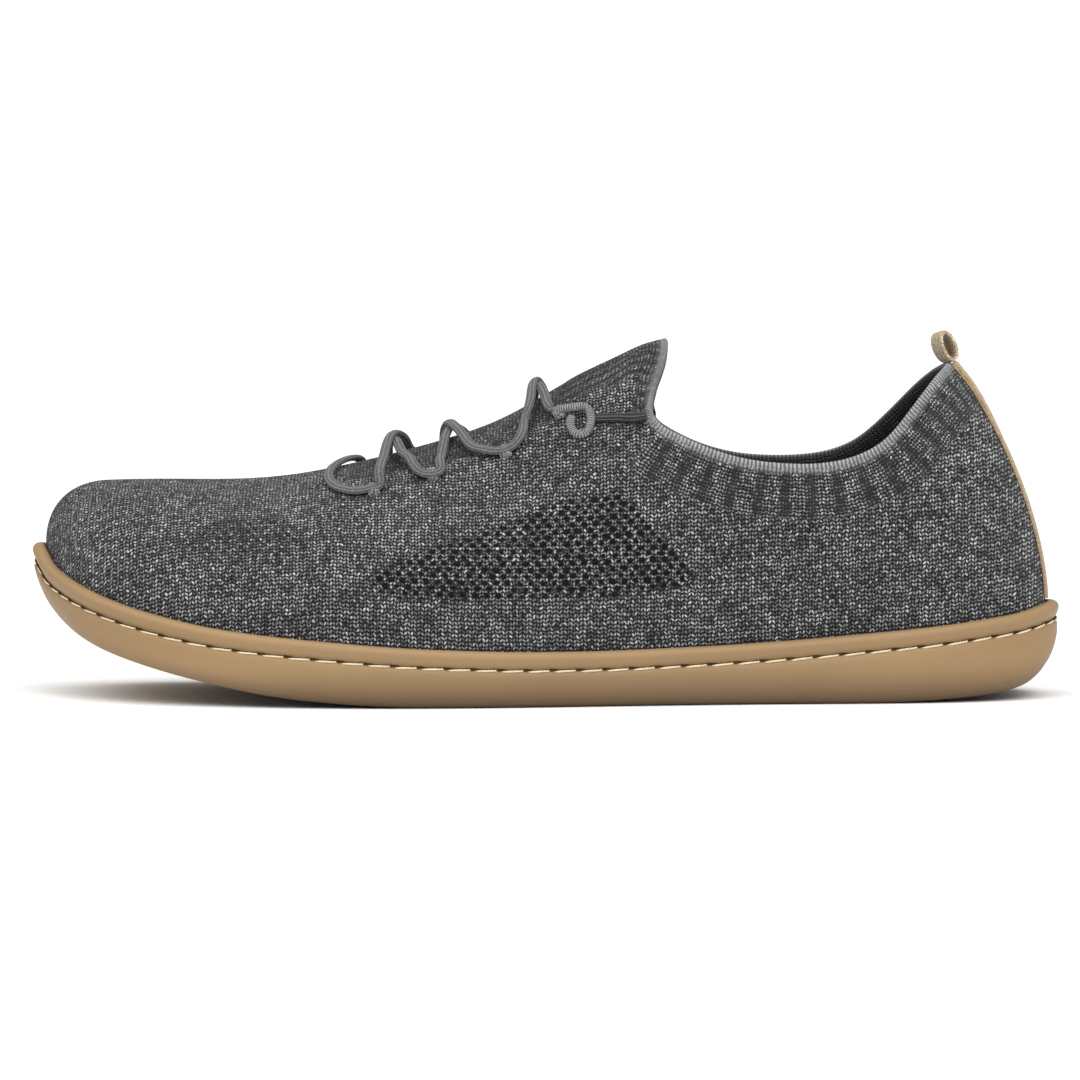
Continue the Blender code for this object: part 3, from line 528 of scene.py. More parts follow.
def rubber_finish():
    """Matt tan rubber with faint clouds and a fine grain, with painted shade towards the ground."""
    made, wires, shader = finish("tan_rubber", 0.52, specular=0.35)
    place = wires.place()
    cloud = wires.step(wires.noise(place, 38.0, 3.0), 0.3, 0.7)
    colour = wires.mix(cloud * 0.35, RUBBER, RUBBER_CLOUD)
    # Painted shade: the base colour darkens towards the floor, low on the sole's wall.
    low = wires.step(wires.separate(place)[2], RUBBER_SHADE_BELOW, 0.0)
    grain = wires.noise(place, RUBBER_GRAIN, 2.0, 0.6)
    wires.feed(shader, Base_Color=wires.mix(low, colour, RUBBER_SHADE),
               Roughness=wires.step(grain, 0.2, 0.8, 0.46, 0.6),
               Normal=wires.bump(grain, RUBBER_RELIEF, 0.6))
    return made


SOLE = sole_piece()
SOLE.data.materials.append(rubber_finish())
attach(SOLE, "root")
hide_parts("outsole")

# Side stitching
# One row of waxed two-ply thread sews the cupsole's wall to the upper, all round the shoe, in the
# groove under the lip. Each stitch dives into a needle slit, under a dark tube of painted shadow.
STITCH_COUNT = 92
THREAD = 0.00062
THREAD_SHARE = (0.20, 0.97)
THREAD_STEPS = 16
THREAD_SIDES = 6
THREAD_TWISTS = 3.5
THREAD_BOW = 0.0005
THREAD_SWIRL = 0.27 * THREAD
THREAD_PLY = 0.72 * THREAD
THREAD_SINK = GROOVE_DEPTH + 0.35 * THREAD
THREAD_DROP = 0.00025
THREAD_CLIMB = 0.0003
SLIT_WIDE = 0.00068
SLIT_THICK = 0.000442
SLIT_RISE = 0.00042
SLIT_FALL = 0.00022
SLIT_SINK = 0.55 * GROOVE_DEPTH
GROOVE_SAMPLES = 700
GROOVE_MIDDLE = GROOVE_DROP + 0.25 * GROOVE_WIDTH
THREAD_COLOUR = (0.60, 0.45, 0.24)
THREAD_LIGHT = (0.86, 0.76, 0.55)
SLIT_SHADOW_COLOUR = (0.045, 0.022, 0.010)


def groove_line(count):
    """Evenly spaced places round the groove with the outward direction in plan."""
    rows = []
    for side, turn in sole_stations(GROOVE_SAMPLES):
        place, out = edge(side, turn)
        rows.append([*place, rim(place[0]) - GROOVE_MIDDLE, *out])
    rows = np.array(rows + rows[:1])
    run = spaced(rows[:, :3])
    at = np.linspace(0, run[-1], count, endpoint=False)
    return np.stack([np.interp(at, run, column) for column in rows.T], axis=1)


def rings_along(places, ups, wide, thick, sides, squareness=1.0):
    """Oval rings square to a route, and each ring's own upward direction."""
    ahead = unit(np.gradient(places, axis=0))
    ups = unit(ups - ahead * np.sum(ups * ahead, axis=1)[:, None])
    turns = 2 * math.pi * np.arange(sides) / sides
    flat = np.sign(np.cos(turns)) * np.abs(np.cos(turns)) ** squareness
    wide, thick = (np.broadcast_to(size, len(places))[:, None, None] / 2 for size in (wide, thick))
    rings = (places[:, None] + np.cross(ahead, ups)[:, None] * flat[:, None] * wide
             + ups[:, None] * np.sin(turns)[:, None] * thick)
    return rings, ups


def tube(rings):
    """A tube through rings of points, closed at both ends: points and faces."""
    count, sides = rings.shape[:2]
    faces = [face[::-1] for face in stack_faces(count, sides)]
    faces += [tuple(range(sides)), tuple(range((count - 1) * sides, count * sides))[::-1]]
    return list(rings.reshape(-1, 3)), faces


def gather(parts):
    """Joins several lists of points and faces into one."""
    points, faces = [], []
    for more_points, more_faces in parts:
        faces += [tuple(i + len(points) for i in face) for face in more_faces]
        points += more_points
    return points, faces


def thread_part(line, stitch, first, last):
    """A part of one stitch: places in the groove, outward directions and shares of its length."""
    rows = line[(stitch * THREAD_STEPS + np.arange(first, last + 1)) % len(line)]
    outs = np.column_stack([rows[:, 3:], np.zeros(len(rows))])
    return rows[:, :3], outs, np.linspace(0, 1, len(rows))


def stitch_row():
    """The two plies of each stitch, and a dark tube of painted shadow in the slit and groove over
    it.
    """
    line = groove_line(STITCH_COUNT * THREAD_STEPS)
    up = np.array([0.0, 0.0, 1.0])
    low, high = (int(round(share * THREAD_STEPS)) for share in THREAD_SHARE)
    plies, slit_shadows = [], []
    for stitch in range(STITCH_COUNT):
        places, outs, u = thread_part(line, stitch, low, high)
        bow = THREAD_BOW * np.sin(math.pi * u) ** 0.5 - THREAD_SINK
        for ply in (0, 1):
            angle = math.pi * ply + 2 * math.pi * THREAD_TWISTS * u
            outwards = bow + THREAD_SWIRL * np.cos(angle)
            upwards = THREAD_SWIRL * np.sin(angle) - THREAD_DROP + THREAD_CLIMB * u
            route = places + outwards[:, None] * outs + np.outer(upwards, up)
            plies.append(tube(rings_along(route, outs, THREAD_PLY, THREAD_PLY, THREAD_SIDES)[0]))
        places, outs, u = thread_part(line, stitch, 0, THREAD_STEPS)
        swell = 0.35 + 0.65 * (1 - ramp(0.12, 0.45, u)) - 0.3 * ramp(0.85, 1.0, u)
        rise = SLIT_RISE - SLIT_FALL * ramp(0.0, 0.3, 1 - u)
        route = places - SLIT_SINK * outs + np.outer(rise, up)
        # A dark tube of painted shadow: the needle slit and the groove's shade over the thread.
        slit_shadows.append(tube(rings_along(route, outs, SLIT_WIDE * swell, SLIT_THICK, THREAD_SIDES)[0]))
    return gather(plies), gather(slit_shadows)


def thread_finish():
    """Shiny waxed thread, mottled from tan to cream."""
    made, wires, shader = finish("waxed_thread", 0.38, specular=0.6)
    tone = wires.noise(wires.place(), 900.0, 2.0)
    wires.feed(shader, Base_Color=wires.mix(tone, THREAD_COLOUR, THREAD_LIGHT))
    return made


def slit_shadow_finish():
    """Painted shadow in a needle slit and in the groove over the thread."""
    made, wires, shader = finish("needle_slit_shadow", 0.9, specular=0.05)
    wires.feed(shader, Base_Color=(*SLIT_SHADOW_COLOUR, 1))
    return made


PLIES, SLIT_SHADOW_TUBES = stitch_row()
THREAD_ROW = shaded("side_stitches", *PLIES)
THREAD_ROW.data.materials.append(thread_finish())
SLIT_SHADOWS = shaded("needle_slit_shadows", *SLIT_SHADOW_TUBES)
SLIT_SHADOWS.data.materials.append(slit_shadow_finish())
for piece in (THREAD_ROW, SLIT_SHADOWS):
    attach(piece, "root")

# Insole
# A thin foam sheet with a dark knitted cover, cut to the foot's outline. It lies loose in the cup,
# inside the foot of the upper.
INSOLE_THICKNESS = 0.0030
KNIT_WALL = 0.0020
INSOLE_INSET = SOLE_WALL + KNIT_WALL + 2 * CLEARANCE
INSOLE_ROUND = 0.0008
INSOLE_WEAVE = 2 * math.pi / 5200.0
INSOLE_RELIEF = 0.0001
INSOLE_DARK = (0.022, 0.022, 0.024)
INSOLE_LIGHT = (0.075, 0.075, 0.080)


def insole_piece():
    """The sheet's rounded edge round the foot, closed by its two faces."""
    angles = np.radians([0, 30, 60, 90])
    rounded = INSOLE_ROUND * np.stack([1 - np.sin(angles), 1 - np.cos(angles)], axis=1)
    levels = [(inset, drop) for inset, drop in rounded]
    levels += [(inset, INSOLE_THICKNESS - drop) for inset, drop in rounded[::-1]]
    base = SOLE_FLOOR + CLEARANCE
    stations = STATIONS[::2]
    points = []
    for inset, height in levels:
        for side, turn in stations:
            place, _ = edge(side, turn, INSOLE_INSET + inset)
            points.append(np.array([*place, underside(place[0]) + base + height]))
    return closed_cup("insole_sheet", points, stack_faces(len(levels), len(stations)),
                      len(stations), lambda x: underside(x) + base,
                      lambda x: underside(x) + base + INSOLE_THICKNESS, sharp=50)


def insole_finish():
    """A dark cover with a fine square weave."""
    made, wires, shader = finish("insole_cover", 0.95, sheen=0.3, specular=0.1)
    x, y, _ = wires.separate(wires.place())
    tone = wires.noise(wires.place(), 900.0, 3.0)
    wires.feed(shader, Base_Color=wires.mix(tone, INSOLE_DARK, INSOLE_LIGHT),
               Normal=wires.bump(x.wave(INSOLE_WEAVE) * y.wave(INSOLE_WEAVE), INSOLE_RELIEF))
    return made


INSOLE = insole_piece()
INSOLE.data.materials.append(insole_finish())
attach(INSOLE, "root")
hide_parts("insole")

# Upper
# One knitted piece drawn over the last like a sock: toe box, sides, tongue, eyestays and the ribbed
# collar are knitted in one, in grey heather yarn. Its foot is sewn into the sole's cup.
TOE_HEIGHT = 0.0585
TONGUE_HEIGHT = 0.0970
COLLAR_LOW = 0.0635
HEEL_HEIGHT = 0.0904
COLLAR_WIDTH = 0.068
COLLAR_HEEL = 0.895
RIM_OVERLAP = 0.0015
EYESTAY_STEP = 0.0012
EYESTAY_FADE = 0.0160
EYESTAY_RUN_IN = 0.020
EYESTAY_RUN_OUT = 0.050
THROAT_HALF = 0.0215
THROAT_FRONT = 0.297
THROAT_BACK = 0.560
RIDGE_START = 0.075
TONGUE_TIP = 0.618
TAB_START = 0.60
TAB_LEAN = 0.8
RIDGE_NEAR = 0.002
COLLAR_NEXT = 0.004
COLLAR_BAND = 0.0140
TAB_BAND = 0.0290
TAB_BAND_FADE = (0.012, 0.017)
TAB_RIBS = 1.7
TAB_RIBS_DOWN = 0.019
RIB_END_IN, RIB_END_OUT = 0.0012, 0.0008
CORNER_REACH = 0.0035
CORNER_SEARCH = (60, 400)
CORNER_IN, CORNER_OUT = (8.5, 9.5), (15.0, 16.5)
CORNER_DOWN = (0.030, 0.040)
WEDGE_HALF = 0.0024
RIB_PITCH = 0.0064
RIB_HEIGHT = 0.00038
EDGE_ROLL = 0.0003
EDGE_ROLL_WIDE = 0.0016
FRONT_CLOTH = 0.300
COLUMNS_PER_ROW = 16
BAND_STEPS = 26
SIDE_STEPS = 66
INSIDE_STEPS = 18
ROLL_STEPS = 6
ROLL_LIFT = 0.0009
RAY_START = 0.2
HOLE_RADIUS = 0.0016
LINE_SAMPLES = 120
COLLAR_SAMPLES = 1600
SECTIONS = 220
CLOTH_SAMPLES = 1500
TOE_SKIP = 0.0012
TIP_SKIP = 0.004
CLOTH_TOE_FADE = (0.10, 0.24)
CLOTH_BY_LINE = (0.48, 0.56)

RIDGE = (
    # along, height, across
    (0.075, -0.003, 0.080), (0.116, 0.004, 0.072), (0.165, 0.004, 0.062), (0.215, 0.012, 0.050),
    (0.262, 0.047, 0.040), (0.316, 0.125, 0.028), (0.365, 0.214, 0.018), (0.402, 0.291, 0.010),
    (0.439, 0.382, 0.005), (0.478, 0.512, 0.002), (0.509, 0.645, 0.000), (0.535, 0.751, 0.000),
    (0.574, 0.886, 0.000), (0.597, 0.962, 0.000), (0.618, 1.000, 0.000),
)
TONGUE_EDGE = (
    # along, across, lateral height, medial height
    (0.6175, 0.28, 0.885, 0.885), (0.6110, 0.45, 0.755, 0.755), (0.6040, 0.57, 0.610, 0.610),
    (0.6020, 0.67, 0.465, 0.460), (0.6080, 0.76, 0.345, 0.335), (0.6250, 0.84, 0.250, 0.225),
    (0.6500, 0.92, 0.155, 0.120), (0.6900, 0.985, 0.050, 0.025),
)
HEEL_EDGE = (
    # along, across, lateral height, medial height
    (0.7300, 1.000, 0.010, 0.000), (0.7560, 0.985, 0.005, 0.010), (0.7820, 0.950, 0.035, 0.055),
    (0.8070, 0.890, 0.115, 0.165), (0.8270, 0.820, 0.240, 0.330), (0.8470, 0.720, 0.460, 0.540),
    (0.8660, 0.580, 0.700, 0.750), (0.8820, 0.400, 0.885, 0.905), (0.8920, 0.200, 0.975, 0.980),
)
LINES = (
    # foot, top, foot lean, lateral pull, medial pull, top lean, top pull
    (0.000, 0.000, 4, 0.44, 0.44, 0, 0.440), (0.065, 0.006, 4, 0.44, 0.44, 0, 0.440),
    (0.125, 0.022, 5, 0.43, 0.45, 0, 0.430), (0.180, 0.060, 6, 0.42, 0.46, 0, 0.420),
    (0.240, 0.130, 7, 0.40, 0.46, 0, 0.410), (0.300, 0.250, 8, 0.38, 0.45, 0, 0.400),
    (0.370, 0.420, 8, 0.36, 0.43, 0, 0.360), (0.435, 0.600, 6, 0.35, 0.39, 0, 0.300),
    (0.497, 0.780, 4, 0.36, 0.37, 0, 0.250), (0.532, 0.920, 3, 0.40, 0.40, 0, 0.210),
    (0.549, 1.000, 3, 0.41, 0.41, 0, 0.200), (0.557, 1.070, 3, 0.39, 0.39, 32, 0.225),
    (0.566, 1.140, 3, 0.37, 0.37, 48, 0.255), (0.576, 1.200, 4, 0.35, 0.35, 58, 0.280),
    (0.588, 1.270, 4, 0.34, 0.34, 67, 0.300), (0.603, 1.340, 5, 0.335, 0.335, 74, 0.320),
    (0.623, 1.410, 5, 0.335, 0.335, 78, 0.330), (0.663, 1.530, 5, 0.33, 0.33, 80, 0.330),
    (0.709, 1.650, 4, 0.33, 0.33, 77, 0.330), (0.765, 1.770, 3, 0.33, 0.33, 68, 0.300),
    (0.835, 1.875, 1, 0.34, 0.34, 56, 0.250), (0.915, 1.945, 0, 0.34, 0.34, 47, 0.215),
    (1.000, 2.000, 0, 0.34, 0.34, 43, 0.200),
)
TIP_ROW = 10
RIDGE_AT = smooth([row[0] for row in RIDGE], [row[1:] for row in RIDGE])


def ridge_point(share):
    """A place on the middle line over the toes and the instep."""
    height, across = RIDGE_AT(share)[0]
    return np.array([along_at(share), MIDDLE + across * BALL_WIDTH,
                     TOE_HEIGHT + height * (TONGUE_HEIGHT - TOE_HEIGHT)])


def collar_curve():
    """The collar's closed edge: 0 at the tongue's tip, 1 at the heel, 2 at the tip again."""
    tip = ridge_point(TONGUE_TIP)
    heel = np.array([along_at(COLLAR_HEEL), MIDDLE, HEEL_HEIGHT])
    halves = []
    for side, column in ((LATERAL, 2), (MEDIAL, 3)):
        halves.append([np.array([along_at(row[0]), MIDDLE + side * row[1] * COLLAR_WIDTH / 2,
                                 COLLAR_LOW + row[column] * (top - COLLAR_LOW)])
                       for table, top in ((TONGUE_EDGE, TONGUE_HEIGHT), (HEEL_EDGE, HEEL_HEIGHT))
                       for row in table])
    out = spaced(np.array([tip] + halves[0] + [heel]))
    back = spaced(np.array([heel] + halves[1][::-1] + [tip]))
    knots = np.concatenate([out / out[-1], 1 + back[1:] / back[-1]])
    return smooth(knots, [tip] + halves[0] + [heel] + halves[1][::-1], closed=True)


COLLAR_AT = collar_curve()
LINES_AT = smooth(range(len(LINES)), LINES)


def top_point(side, top):
    """Where a line ends on the ridge or the collar, its plan heading and its slope there."""
    if top <= 1:
        share = RIDGE_START + top * (TONGUE_TIP - RIDGE_START)
        step = ridge_point(share + RIDGE_NEAR) - ridge_point(share - RIDGE_NEAR)
        heading = np.array([TAB_LEAN * ramp(TAB_START, 1.0, top), -side])
        return ridge_point(share), unit(heading), step[2] / step[0]
    turn = (top - 1) if side == LATERAL else (3 - top)
    tangent = (COLLAR_AT(turn + COLLAR_NEXT) - COLLAR_AT(turn - COLLAR_NEXT))[0] * -side
    ahead = max(tangent[0], 0.02 * np.linalg.norm(tangent))
    inward = np.array([min(side * tangent[1], TAB_LEAN * ahead), -side * ahead])
    return COLLAR_AT(turn)[0], unit(inward), 0.0


def knit_line(side, column):
    """One line of the knit from its top to its foot in the cup: points and running length."""
    foot, top, foot_lean, lateral, medial, top_lean, top_pull = LINES_AT(column)[0]
    foot, top = min(max(foot, 0.0), 1.0), min(max(top, 0.0), 2.0)
    pull = lateral if side == LATERAL else medial
    place, out = edge(side, foot, SOLE_WALL + CLEARANCE)
    start = np.array([*place, rim(edge(side, foot)[0][0]) - RIM_OVERLAP])
    end, heading, slope = top_point(side, top)
    keep = ramp(4, 6, column)
    heading = unit(heading * keep + unit(end[:2] - start[:2]) * (1 - keep))
    reach = np.linalg.norm(end - start)
    a, b = math.radians(foot_lean), math.radians(top_lean)
    leave = np.array([*(out * math.sin(a)), math.cos(a)])
    arrive = unit(np.array([*(heading * math.cos(b)), math.sin(b) + slope * heading[0]]))
    low, high = start + leave * pull * reach, end - arrive * top_pull * reach
    t = np.linspace(1, 0, LINE_SAMPLES)[:, None]
    points = ((1 - t) ** 3 * start + 3 * (1 - t) ** 2 * t * low
              + 3 * (1 - t) * t * t * high + t ** 3 * end)
    below = np.array([*place, underside(place[0]) + SOLE_FLOOR + CUP_FILLET + CLEARANCE])
    return points, spaced(points), below


def band_width(column):
    """Distance from the top edge to the eyestay's step or the collar's rib end."""
    return THROAT_HALF + (COLLAR_BAND - THROAT_HALF) * ramp(TIP_ROW - 4, TIP_ROW + 4, column)


EYESTAY_LEVELS = (0.95, 0.968, 0.985, 1.002, 1.02)
BAND_SHARES = np.append(np.linspace(0, 0.93, BAND_STEPS - len(EYESTAY_LEVELS)), EYESTAY_LEVELS)
COLUMNS = np.linspace(0, len(LINES) - 1, (len(LINES) - 1) * COLUMNS_PER_ROW + 1)
ROWS = BAND_STEPS + SIDE_STEPS + 1


def knit_grid():
    """Places, distances from the top edge and whole line lengths for each side, column and row."""
    places = np.zeros((2, len(COLUMNS), ROWS, 3))
    downs = np.zeros((2, len(COLUMNS), ROWS))
    wholes = np.zeros((2, len(COLUMNS)))
    for s, side in enumerate((LATERAL, MEDIAL)):
        for c, column in enumerate(COLUMNS):
            points, run, below = knit_line(side, column)
            distances = BAND_SHARES * band_width(column)
            rest = np.linspace(distances[-1], run[-1], SIDE_STEPS + 1)[1:]
            distances = np.concatenate([distances, rest])
            for k in range(3):
                places[s, c, :-1, k] = np.interp(distances, run, points[:, k])
            places[s, c, -1] = below
            downs[s, c, :-1] = distances
            downs[s, c, -1] = run[-1] + np.linalg.norm(below - points[-1])
            wholes[s, c] = run[-1]
    return places, downs, wholes


GRID, DOWN, WHOLE = knit_grid()


def section_arcs():
    """Arc length from the ridge at each grid point, measured square to the shoe's length."""
    arcs = np.zeros(DOWN.shape)
    totals = []
    stations = np.linspace(along_at(0) + TOE_SKIP, along_at(TONGUE_TIP) - TIP_SKIP, SECTIONS)
    for s in range(2):
        xs = np.maximum.accumulate(GRID[s, :, :, 0], axis=0)
        sections = np.full((len(stations), ROWS), np.nan)
        for n, x in enumerate(stations):
            start = np.array([np.interp(-x, -GRID[s, 0, :, 0], GRID[s, 0, :, k]) for k in range(3)])
            arc, last = 0.0, None
            for r in range(ROWS - 1):
                if xs[0, r] > x:
                    continue
                place = np.array([np.interp(x, xs[:, r], GRID[s, :, r, k]) for k in range(3)])
                if last is None:
                    last = start if r > 0 else place
                arc += np.linalg.norm(place - last)
                sections[n, r] = arc
                last = place
        for r in range(ROWS - 1):
            known = ~np.isnan(sections[:, r])
            spread = np.append(xs[0, r], stations[known])
            arcs[s, :, r] = np.interp(GRID[s, :, r, 0], spread, np.append(0, sections[known, r]))
        arcs[s, :, -1] = arcs[s, :, -2] + DOWN[s, :, -1] - DOWN[s, :, -2]
        totals.append((stations, sections[:, ROWS - 2]))
    return arcs, totals


ARC, TOTALS = section_arcs()


def cloth_places():
    """Each grid point's place on the flat cloth: along the foot and across it."""
    fine = np.linspace(-LENGTH / 2, LENGTH / 2, CLOTH_SAMPLES)
    share = np.clip(share_at(fine), 0, 1)
    heights = np.array([ridge_point(max(s, RIDGE_START))[2] for s in share])
    front = share < RIDGE_START
    toe = GRID[0, 0][np.argsort(GRID[0, 0, :, 0])]
    heights[front] = np.interp(fine[front], toe[:, 0], toe[:, 2])
    stretch = np.sqrt(1 + np.clip(np.gradient(heights, fine), -3, 3) ** 2)
    stretch = 1 + (stretch - 1) * (1 - ramp(*CLOTH_TOE_FADE, share))
    run = np.append(0, np.cumsum((stretch[1:] + stretch[:-1]) / 2 * np.diff(fine)))
    along = np.interp(GRID[..., 0], fine, run)
    across = np.zeros(DOWN.shape)
    for s, (stations, totals) in enumerate(TOTALS):
        x = GRID[s, :, :, 0]
        base = np.interp(along_at(FRONT_CLOTH), stations, totals)
        from_rim = np.interp(x, stations, totals) - ARC[s]
        by_line = WHOLE[s][:, None] - DOWN[s]
        late = ramp(*CLOTH_BY_LINE, share_at(x))
        low = from_rim * (1 - late) + by_line * late
        across[s] = np.where(x > along_at(FRONT_CLOTH), base - low, ARC[s])
    return along, across


ALONG, ACROSS = cloth_places()


def own_points():
    """One number for each grid point: both sides share the middle lines of toe, ridge and heel."""
    number = np.zeros(DOWN.shape, int)
    owner = []
    for s in (0, 1):
        for c, column in enumerate(COLUMNS):
            for r in range(ROWS):
                shared = s == 1 and (c in (0, len(COLUMNS) - 1) or (r == 0 and column <= TIP_ROW))
                if shared:
                    number[s, c, r] = number[0, c, r]
                else:
                    number[s, c, r] = len(owner)
                    owner.append((s, c, r))
    quads = []
    for s in (0, 1):
        a, b = number[s, :-1, :-1].ravel(), number[s, :-1, 1:].ravel()
        c, d = number[s, 1:, 1:].ravel(), number[s, 1:, :-1].ravel()
        quads.append(np.stack([a, b, c, d] if s == 0 else [d, c, b, a], axis=1))
    return number, tuple(np.array(owner).T), np.concatenate(quads)


NUMBER, OWNER, QUADS = own_points()


def face_normals(points, quads):
    """Outward direction at each point, from the faces around it."""
    corners = points[quads]
    direction = np.cross(corners[:, 2] - corners[:, 0], corners[:, 3] - corners[:, 1])
    total = np.zeros_like(points)
    for k in range(4):
        np.add.at(total, quads[:, k], direction)
    return unit(total)


def finder_among(places):
    """A search tree of places, which finds the number of the nearest ones."""
    finder = KDTree(len(places))
    for i, place in enumerate(places):
        finder.insert(Vector(place), i)
    finder.balance()
    return finder


BASE = GRID[OWNER]
BASE_OUT = face_normals(BASE, QUADS)
POINT_COLUMN = COLUMNS[OWNER[1]]
POINT_DOWN = DOWN[OWNER]
POINT_SIDE = np.where(OWNER[0] == 0, LATERAL, MEDIAL)
COLUMN_TOP = np.array([min(float(LINES_AT(column)[0][1]), 1.0) for column in COLUMNS])
TOP_SHARE = (RIDGE_START + COLUMN_TOP * (TONGUE_TIP - RIDGE_START))[OWNER[1]]
COLLAR_FINE = COLLAR_AT(np.linspace(0, 2, COLLAR_SAMPLES, endpoint=False))
COLLAR_RUN = spaced(COLLAR_FINE)
COLLAR_FINDER = finder_among(COLLAR_FINE)
COLLAR_FOUND = [COLLAR_FINDER.find(Vector(place)) for place in BASE]
COLLAR_FAR = np.array([found[2] for found in COLLAR_FOUND])
COLLAR_NEAR = np.array([found[1] for found in COLLAR_FOUND])


def steadied_corner():
    """Outward directions evened out where the knit's lines crowd at the collar's front corners."""
    share = ramp(*CORNER_IN, POINT_COLUMN) * (1 - ramp(*CORNER_OUT, POINT_COLUMN))
    share *= 1 - ramp(*CORNER_DOWN, POINT_DOWN)
    result = BASE_OUT.copy()
    for side in (LATERAL, MEDIAL):
        near = np.nonzero((share > 0) & (POINT_SIDE == side))[0]
        around = near[::3]
        facing = BASE_OUT[around] @ np.array([-0.3, side * 0.85, 0.35])  # forwards, out and up
        steady_out = BASE_OUT[around] * np.where(facing < 0, -1.0, 1.0)[:, None]
        finder = finder_among(BASE[around])
        for n in near:
            found = [row[1] for row in finder.find_range(Vector(BASE[n]), CORNER_REACH)]
            mean = unit(steady_out[found].sum(axis=0))
            result[n] = unit(BASE_OUT[n] * (1 - share[n]) + mean * share[n])
    return result


BASE_OUT = steadied_corner()


def rib_fields():
    """Where the collar's ribs run: the place across them and how strongly they stand."""
    whole = COLLAR_RUN[-1]
    run = COLLAR_RUN[COLLAR_NEAR]
    across = np.minimum(run, whole - run)
    first, last = CORNER_SEARCH
    bend = np.linalg.norm(np.diff(COLLAR_FINE[first:last], n=2, axis=0), axis=1)
    corner = COLLAR_RUN[first + int(np.argmax(bend))]
    wedge = np.exp(-((across - corner) / WEDGE_HALF) ** 4) * ramp(0.0010, 0.0025, COLLAR_FAR)
    across = np.minimum(across, corner) * TAB_RIBS + np.maximum(across - corner, 0.0)
    behind = ramp(TIP_ROW - 1.0, TIP_ROW + 1.5, POINT_COLUMN)
    place = TAB_RIBS * POINT_DOWN * (1 - behind) + across * behind
    tab = 1 - ramp(TIP_ROW - 0.3, TIP_ROW + 2.0, POINT_COLUMN)
    tab *= 1 - ramp(*TAB_BAND_FADE, POINT_DOWN)
    band = COLLAR_BAND + (TAB_BAND - COLLAR_BAND) * tab
    strength = 1 - ramp(band - RIB_END_IN, band + RIB_END_OUT, COLLAR_FAR)
    strength *= np.where((POINT_COLUMN < TIP_ROW) & (POINT_DOWN > TAB_RIBS_DOWN), 0.0, 1.0)
    strength *= 1 - wedge
    return place, strength


RIB_PLACE, RIB_STRENGTH = rib_fields()


def eyestay_fields():
    """How far the eyestay stands over the tongue, and where shade is painted over the tongue in the
    open throat.
    """
    along = ramp(THROAT_FRONT, THROAT_FRONT + EYESTAY_RUN_IN, TOP_SHARE)
    along *= 1 - ramp(THROAT_BACK - 0.6 * EYESTAY_RUN_OUT, THROAT_BACK + 0.4 * EYESTAY_RUN_OUT,
                      TOP_SHARE)
    along *= POINT_COLUMN <= TIP_ROW
    widths = np.array([band_width(c) for c in COLUMNS])[OWNER[1]]
    step = ramp(0.95 * widths, 1.02 * widths, POINT_DOWN)
    fade = 1 - ramp(1.02 * widths, 1.02 * widths + EYESTAY_FADE, POINT_DOWN)
    throat = along * (1 - ramp(0.93 * widths, 0.99 * widths, POINT_DOWN))
    return EYESTAY_STEP * along * step * fade, throat


EYESTAY_RISE, THROAT_SHADE = eyestay_fields()

# The zone of open mesh on each side, as corners on the side view: along and height in metres
MESH_ZONE = (
    # along, top, bottom
    (-0.046, 0.0350, 0.0310), (-0.036, 0.0405, 0.0285), (-0.026, 0.0440, 0.0280),
    (-0.014, 0.0475, 0.0282), (0.004, 0.0545, 0.0285), (0.020, 0.0575, 0.0290),
    (0.028, 0.0500, 0.0300), (0.040, 0.0350, 0.0320),
)
TOE_MESH = (
    # along, top, bottom
    (-0.100, 0.0400, 0.0390), (-0.092, 0.0480, 0.0380), (-0.080, 0.0520, 0.0375),
    (-0.070, 0.0520, 0.0370), (-0.063, 0.0470, 0.0390),
)
MESH_SOFT = 0.0035
TOE_MESH_SOFT = 0.004
TOE_MESH_SHARE = 0.55


def zone(rows, soft):
    """How far inside a zone of the side view each point lies, from 0 to 1."""
    x, top, low = np.array(rows).T
    along, _, height = BASE.T
    inside = np.minimum(np.interp(along, x, top) - height, height - np.interp(along, x, low))
    return ramp(-soft, soft, np.minimum(inside, np.minimum(along - x[0], x[-1] - along)))


MESH_STRENGTH = np.maximum(zone(MESH_ZONE, MESH_SOFT),
                           TOE_MESH_SHARE * zone(TOE_MESH, TOE_MESH_SOFT))

# Soft dents and swells where the empty knit sinks between last and lace
FOLDS = (
    # along, height, angle, length, width, rise
    (-0.018, 0.0630, 60, 0.0100, 0.0050, -0.0004), (0.012, 0.0540, 35, 0.0150, 0.0060, -0.0003),
    (0.052, 0.0400, 80, 0.0160, 0.0060, -0.0004), (0.088, 0.0330, 78, 0.0220, 0.0030, -0.0005),
    (-0.060, 0.0500, 20, 0.0140, 0.0060, 0.0003), (0.070, 0.0450, 70, 0.0140, 0.0070, 0.0004),
)


def fold_rise():
    """How far the folds lift or sink each point."""
    total = np.zeros(len(BASE))
    for x, z, angle, long, wide, rise in FOLDS:
        a = math.radians(angle)
        dx, dz = BASE[:, 0] - x, BASE[:, 2] - z
        u = (dx * math.cos(a) + dz * math.sin(a)) / long
        v = (-dx * math.sin(a) + dz * math.cos(a)) / wide
        total += rise * np.exp(-u * u - v * v)
    return total


def rib_rise():
    """How far the ribs and the collar's soft edge lift each point."""
    wave = 0.5 + 0.5 * np.cos(2 * math.pi * RIB_PLACE / RIB_PITCH)
    band = np.clip(wave * 1.5 - 0.1, 0, 1)
    edge_roll = EDGE_ROLL * np.exp(-(COLLAR_FAR / EDGE_ROLL_WIDE) ** 2)
    ribs = RIB_STRENGTH * RIB_HEIGHT * (band - 0.5)
    return ribs * ramp(0.0006, 0.0022, COLLAR_FAR) + edge_roll


